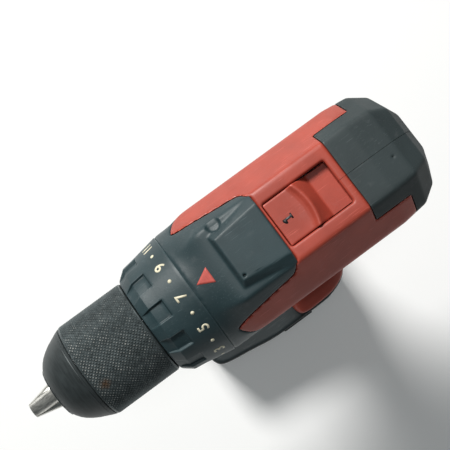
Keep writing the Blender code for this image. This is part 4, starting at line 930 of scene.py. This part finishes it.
def thickened(name, outer, inner, faces):
    """A thin solid between two matching sets of points."""
    n = len(outer)
    backs = [tuple(i + n for i in f[::-1]) for f in faces]
    walls = [(a, b, b + n, a + n) for a, b in rim(faces)]
    return mesh_of(name, np.vstack([outer, inner]), [*faces, *backs, *walls])


def on_collar(name, points, faces, x, degrees, across=None, level_r=None):
    """A printed mark on the collar; its points are (round it, towards the chuck) in millimetres.

    across is the radius at which the first is measured, level_r the one at which the whole mark lies.
    """
    shells = [[], []]
    for u, v in points:
        r = level_r or collar_radius(x + v)
        t = math.radians(degrees) + u / (across or r)
        for shell, offset in zip(shells, (PAINT_OUT, PAINT_IN)):
            shell.append((x + v, (r + offset) * math.cos(t), (r + offset) * math.sin(t)))
    piece(thickened(name, *map(np.array, shells), faces), "cream_paint", "collar", smooth=0)


def build_collar(sizes):
    """The torque collar with its finger pockets and its numbers."""
    half = POCKET_HALF_DEG
    # (degrees from a pocket's middle, share of its depth)
    across = [(-16, 0), (-13, 0), (-half - 1.6, 0), (-half - 0.5, 0), (-half, 0.12), (-half + 0.5, 0.85),
              (-half + 1.2, 1), (-4, 1), (0, 1), (4, 1), (half - 1.2, 1), (half - 0.5, 0.85),
              (half, 0.12), (half + 0.5, 0), (half + 1.6, 0), (13, 0)]
    around_it = [(90 + STEP_DEG * k + offset, share) for k in range(-5, 6) for offset, share in across]
    around_it.append((90 + STEP_DEG * 5.5 + 4, 0))
    angle, lower = np.radians([a for a, _ in around_it]), np.array([share for _, share in around_it])
    rear, front = COLLAR_REAR_X, COLLAR_FRONT_X
    # (x, height above the collar's form, share of the pockets' depth)
    stations = [(rear, -0.5, 0), (rear + 0.15, -0.15, 0), (rear + 0.5, 0, 0)]
    stations += [(x, 0, 0) for x in np.arange(rear + 1.5, rear + 10.6, 1.3)]
    stations += [(rear + 11.2, 0, 0), (rear + 11.7, 0, 0.1), (rear + 12.2, 0, 0.85), (rear + 12.9, 0, 1)]
    stations += [(x, 0, 1) for x in np.arange(rear + 14, front - 4.6, 1.1)]
    stations += [(front - 4.4, -0.03, 1), (front - 3.8, -0.15, 1), (front - 3.0, -0.1, 0.95),
                 (front - 1.6, 0, 0.6), (front - 0.6, 0, 0.2), (front - 0.25, -0.1, 0), (front, -0.5, 0)]
    rings = [ring_at(x, collar_radius(x) + lift - POCKET_DEPTH * pocket * lower, angle)
             for x, lift, pocket in stations]
    recess = rear + LIP_LENGTH + 0.05
    inside = ((front, 14.2), (front - 0.2, 14.0), (front - 2.8, 14.0), (front - 2.8, 21.8),
              (rear, COLLAR_R - 4.4), (rear, LIP_LOW_R - GAP), (recess, LIP_LOW_R - GAP),
              (recess, LIP_HIGH_R + 0.22))
    rings += [ring_at(x, r, angle) for x, r in inside]
    ring = skin_rings("torque_collar", rings, closed=True)
    piece(ring, "black_plastic", "collar", ["clutch_collar"], smooth=28)
    row_x, dot_r = rear + 5.2, 0.78
    disc = [(dot_r * math.cos(a), dot_r * math.sin(a)) for a in around(20)]
    for k in range(8):
        number = str(2 * k + 1)
        on_collar(f"number_{number}", *glyph(number, sizes.digit_height), row_x, 90 + STEP_DEG * (k - 3))
        if k < 7:
            on_collar(f"dot_{k + 1}", disc, [tuple(range(20))], row_x, 90 + STEP_DEG * (k - 2.5), COLLAR_R)
    # The sign of a drill bit: bars of (place along the collar's axis, width, length)
    bars = ((-1.9, 2.0, 0.7), (-0.9, 0.9, 0.7), (0.1, 1.5, 0.7), (1.1, 0.8, 0.8), (2.0, 0.35, 0.8))
    for i, (v, w, h) in enumerate(bars, 1):
        corners = [(du * w / 2, dv * h / 2) for du, dv in ((-1, -1), (1, -1), (1, 1), (-1, 1))]
        on_collar(f"drill_sign_{i}", corners, [(0, 1, 2, 3)], row_x + v, 90 + STEP_DEG * 4.5,
                  COLLAR_R, collar_radius(row_x + v))


# ---- controls

def build_controls(sizes):
    """The gear selector with its number, the trigger and the direction button."""
    front, half = SLOT_FRONT_X - 0.3, SLOT_HALF_W - 0.3
    top, floor_z = TOP - 0.6, TOP - CAVITY_INSET - 0.8
    plate = block("gear_selector", (SLIDE_LOW.x, 0.4 - SLOT_HALF_W, SLIDE_LOW.z),
                  (SLIDE_HIGH.x, SLOT_HALF_W - 0.4, floor_z + 0.3))
    rings = []
    for y in np.linspace(-half, half, 37):
        bow = 2.0 * (1 - (y / half) ** 2)
        edge = 0.3 * max(0.0, (abs(y) - half + 0.6) / 0.6) ** 2
        profile = [(0, floor_z), (0, top - 0.3 - edge), (-0.3, top - edge)]
        profile += [(-0.3 - 9.2 * k / 5, top - edge) for k in range(1, 6)]
        profile += [(-10.6 - bow * 0.8, top + 0.15 - edge), (-11.7 - bow, top + 0.7 - edge),
                    (-12.5 - bow, top + 1.5 - edge), (-13.0 - bow, top + 1.9 - edge),
                    (-13.6 - bow, top + 1.95 - edge), (-14.2 - bow, top + 1.6 - edge)]
        profile += [(-14.2 - bow - (6.0 - bow) * k / 4, top + 1.6 - edge - (top + 0.9 - floor_z) * k / 4)
                    for k in range(1, 5)]
        profile += [(-20.4, floor_z + 0.3), (-20.5, floor_z)]
        rings.append([(front + x, y, z) for x, z in profile])
    slide = moulded_form(fused(plate, skin_rings("panel", rings)), sizes, 0.34, 1, 0.35)
    piece(slide, "red_plastic", "selector", ["selector_slide"], smooth=0)
    one = [(1.9, -0.42), (1.9, 0.42), (1.0, 0.42), (-1.4, 0.42), (-1.4, 1.0), (-2.0, 1.0), (-2.0, -1.0),
           (-1.4, -1.0), (-1.4, -0.42), (0.4, -0.42), (0.6, -1.45), (1.2, -1.4), (1.6, -0.9)]
    faces = [(0, 1, 2, 9, 10, 11, 12), (2, 3, 8, 9), (3, 4, 5, 6, 7, 8)]
    size = 1.15
    printed("gear_number", [(front - 4.9 + size * u, 0.1 - size * v) for u, v in one], faces, slide,
            "black_print", "selector")

    low, high = TRIGGER_LOW, TRIGGER_HIGH
    middle = (high.z + low.z) / 2
    face = []
    for s in np.linspace(0, 1, 15):
        hollow = 5.4 * math.sin(math.pi * s) ** 0.8 * (0.55 + 0.45 * math.sin(math.pi * s))
        face.append((high.x - 0.5 - hollow, high.z - (high.z - low.z) * s))
    blade = prism("trigger_blade", [(-1.0, high.z), *face, (-1.0, low.z)], -7.0, 7.0)
    blade = moulded_form(blade, sizes, 0.4, 6, 0.3)
    plunger = rod("plunger", (-2.0, 0, middle), (-12.5, 0, middle), 2.0, 32)
    piece(fused(blade, plunger), "pack_plastic", "trigger", ["trigger"], smooth=35)

    x, z, end = BUTTON_X, BUTTON_Z, BUTTON_END_Y
    button = rod("reverse_button", (x, -end + 0.6, z), (x, end - 0.6, z), BUTTON_R)
    caps = [rod("cap", (x, side * (end - 0.6), z), (x, side * end, z), BUTTON_R, end_radius=2.5)
            for side in (-1, 1)]
    grooves = [sided("groove", side, (x + dx - 0.25, end - 0.45, z - 3), (x + dx + 0.25, 40, z + 3))
               for side in (-1, 1) for dx in (-1.2, 0, 1.2)]
    button = cut(fused(button, *caps), *grooves)
    piece(button, "pack_plastic", "direction_button", ["direction_button"], smooth=35)


# ---- battery

def pack_shell(name, low_z, high_z, soft_low, soft_high):
    """A block of the battery, with round edges at the bottom or the top."""
    half_l, half_w = (PACK_HIGH.x - PACK_LOW.x) / 2, PACK_HIGH.y
    # (cosine, sine) over a quarter turn
    quarter = [(math.cos(math.pi / 2 * k / 5), math.sin(math.pi / 2 * k / 5)) for k in range(6)]
    rows = [(low_z + soft_low * (1 - c), soft_low * (1 - s)) for c, s in quarter]
    rows += [(high_z - soft_high * (1 - s), soft_high * (1 - c)) for c, s in quarter]
    plan = plan_curve(PACK_PLAN, 40)
    return skin_rings(name, [level(plan, half_l - trim, half_w - trim, PACK_MIDDLE_X, z) for z, trim in rows])


def drawn_in(obj, share_x, share_y):
    """Narrows a form of the pack about the pack's own middle."""
    obj.scale = (share_x, share_y, 1)
    obj.location.x = PACK_MIDDLE_X * (1 - share_x) * MM
    return settled(obj)


def build_battery(sizes):
    """The battery's two shells, its rail, its release latches and its charge lights."""
    low_z, split, roof, room = PACK_LOW.z, PACK_HIGH.z, PACK_ROOF, (0.955, 0.945)
    base = pack_shell("pack_base", low_z, split, 2.0, 0.35)
    base = cut(base, drawn_in(pack_shell("hollow", low_z + 2, split + 6, 1.0, 0.3), *room))
    inner = drawn_in(pack_shell("rib_limit", low_z + 1, split - 1, 0.5, 0.5), 0.97, 0.966)
    starts = [PACK_MIDDLE_X - 29 + 7 * i for i in range(9)]
    ribs = [cut(block("rib_cut", (x, -40, low_z + 8), (x + 2.2, 40, low_z + 23)), twin(inner, "limit"))
            for x in starts]
    bpy.data.objects.remove(inner)
    base = moulded_form(cut(base, *ribs), sizes, 0.5, 2, 0.2)
    piece(base, "pack_plastic", "battery", ["battery_base"], smooth=0)

    lid = pack_shell("pack_lid", LID_LOW_Z, roof, 0.35, 1.8)
    lid = cut(lid, drawn_in(pack_shell("lid_hollow", LID_LOW_Z - 6, roof - 2, 0.3, 1.0), *room))
    lid = fused(lid, block("rail_neck", (-30.8, -16.2, roof - 1), (1, 16.2, roof + 4.2)),
                block("rail_head", (-30.8, -21.2, roof + 3.5), (1, 21.2, roof + 9)))
    lid = cut(lid, block("contacts", (-45, -12, roof + 1.5), (-14, 12, roof + 21.5)),
              *[sided("window", side, (LATCH_LOW.x - GAP, 31, LATCH_LOW.z - GAP),
                      (LATCH_HIGH.x + GAP, 43, LATCH_HIGH.z + GAP)) for side in (-1, 1)],
              block("light_panel", (PACK_HIGH.x - 0.6, -9, roof - 13), (PACK_HIGH.x + 5, 9, roof - 6)),
              *[block("thumb_step", (30 + 4.4 * i, -13, roof - 1.0), (32.4 + 4.4 * i, 13, roof + 3))
                for i in range(4)])
    lid = moulded_form(lid, sizes, 0.5, 2, 0.25)
    piece(lid, "pack_plastic", "battery", ["battery_lid"], smooth=0)
    for i in range(4):
        y = -5.4 + 3.6 * i
        lamp = block(f"charge_light_{i + 1}", (PACK_HIGH.x - 1.2, y - 1.1, roof - 10.6),
                     (PACK_HIGH.x - 0.35, y + 1.1, roof - 8.4))
        soft = lamp.modifiers.new("soften", "BEVEL")
        soft.width, soft.segments = 0.25 * MM, 2
        piece(lamp, "clear_lens", "battery", smooth=30)
    near, far = PACK_HIGH.y - 2.0, PACK_HIGH.y + 0.9
    for side, name in SIDES:
        latch = sided(f"release_{name}", side, (LATCH_LOW.x, near, LATCH_LOW.z),
                      (LATCH_HIGH.x, far, LATCH_HIGH.z))
        starts = [LATCH_LOW.x + 2.4 + 2.6 * i for i in range(6)]
        grooves = [sided("groove", side, (x, far - 0.5, LATCH_LOW.z + 1.4), (x + 1.0, 50, LATCH_HIGH.z - 1.4))
                   for x in starts]
        latch = moulded_form(cut(latch, *grooves), sizes, 0.22, 2, 0.35)
        piece(latch, "pack_plastic", f"latch_{name}", [f"latch_{name}"], smooth=0)


def dress_inner_parts():
    """Gives the nodes that stay as packed the finish that their record slot names."""
    slots = {row["node"]: row["material_slot"] for row in frame["record"]["subparts"]}
    for name, obj in frame["nodes"].items():
        if obj.hide_render:
            continue
        finish = Finish.made[slots[name]]
        for place in obj.material_slots:
            place.material = finish
        if not obj.material_slots:
            obj.data.materials.append(finish)


# ---- stage

def light(name, place, aim, size, power, colour=(1, 1, 1)):
    data = bpy.data.lights.new(name, "AREA")
    data.shape, data.size, data.energy, data.color = "DISK", size, power, colour
    obj = add(name, data)
    obj.location = place
    obj.rotation_euler = (Vector(aim) - Vector(place)).to_track_quat("-Z", "Y").to_euler()


def build_stage(colours):
    """The pale floor, the soft lights and the camera."""
    side = 6.0
    floor = add("floor", bpy.data.meshes.new("floor"))
    corners = [(-side, -side, 0), (side, -side, 0), (side, side, 0), (-side, side, 0)]
    floor.data.from_pydata(corners, [], [(0, 1, 2, 3)])
    floor.data.materials.append(Finish.made["pale_floor"])
    centre = (0.02, 0, 0.15)
    light("key_light", (0.12, -1.12, 1.42), centre, 0.55, 35, (1.0, 0.99, 0.97))
    light("top_light", (0.10, 0.05, 1.9), centre, 0.35, 3.2, (0.94, 0.99, 1.0))
    world = bpy.data.worlds.new("studio")
    world.use_nodes = True
    background = world.node_tree.nodes["Background"].inputs
    background["Color"].default_value = (0.82, 0.97, 1.0, 1)
    background["Strength"].default_value = 0.075
    scene = bpy.context.scene
    scene.world = world
    scene.view_settings.view_transform = "Standard"

    camera = add("camera", bpy.data.cameras.new("camera"))
    camera.data.sensor_width = SENSOR_WIDTH
    camera.data.lens = CAMERA_FOCAL / IMAGE_SIDE * SENSOR_WIDTH
    camera.data.clip_start, camera.data.clip_end = 0.01, 20
    place = (Vector(CAMERA_PLACE) + SPINDLE_UP) * MM
    camera.matrix_world = Matrix.Translation(place) @ camera_turn().to_4x4()
    scene.camera = camera


def camera_turn():
    """Camera axes from a straight-down view, tilted a little, then rolled about the line of sight."""
    tilt = Vector(CAMERA_TILT)
    lean = Matrix.Rotation(tilt.length, 3, tilt)
    base = Matrix(((-1, 0, 0), (0, 1, 0), (0, 0, -1)))
    right, down, ahead = lean @ base
    roll = math.radians(CAMERA_ROLL_DEG)
    c, s = math.cos(roll), math.sin(roll)
    image_right = c * right + s * down
    image_down = -s * right + c * down
    return Matrix((image_right, -image_down, -ahead)).transposed()


# ---- the add-on

def maker(idname, label, work, *settings):
    """An operator class that runs one builder with the settings that it needs."""
    def execute(self, context):
        work(*[getattr(context.scene, name) for name in settings])
        return {"FINISHED"}
    return type(f"DRILL_OT_{idname}", (bpy.types.Operator,), {
        "bl_idname": f"drill.{idname}", "bl_label": label, "__doc__": work.__doc__, "execute": execute})


OPERATORS = (
    maker("finishes", "Make finishes", make_finishes, "drill_colours"),
    maker("shells", "Build shells", build_shells, "drill_sizes"),
    maker("chuck", "Build chuck", build_chuck, "drill_sizes"),
    maker("collar", "Build collar", build_collar, "drill_sizes"),
    maker("controls", "Build controls", build_controls, "drill_sizes"),
    maker("battery", "Build battery", build_battery, "drill_sizes"),
    maker("inner", "Dress inner parts", dress_inner_parts),
    maker("stage", "Build stage", build_stage, "drill_colours"),
)


class DRILL_PT_panel(bpy.types.Panel):
    """Lists the drill's builders and settings."""

    bl_label = "Cordless drill"
    bl_idname = "DRILL_PT_panel"
    bl_space_type = "VIEW_3D"
    bl_region_type = "UI"
    bl_category = "Drill"

    def draw(self, context):
        for group in (context.scene.drill_sizes, context.scene.drill_colours):
            for name in group.bl_rna.properties.keys():
                if name not in ("rna_type", "name"):
                    self.layout.prop(group, name)
        for operator in OPERATORS:
            self.layout.operator(operator.bl_idname)


CLASSES = (DrillSizes, DrillColours, *OPERATORS, DRILL_PT_panel)


def register():
    for cls in CLASSES:
        bpy.utils.register_class(cls)
    bpy.types.Scene.drill_sizes = PointerProperty(type=DrillSizes)
    bpy.types.Scene.drill_colours = PointerProperty(type=DrillColours)


def unregister():
    del bpy.types.Scene.drill_sizes, bpy.types.Scene.drill_colours
    for cls in reversed(CLASSES):
        bpy.utils.unregister_class(cls)


def main():
    register()
    for operator in OPERATORS:
        getattr(bpy.ops.drill, operator.bl_idname.split(".")[1])()


if __name__ == "__main__":
    main()
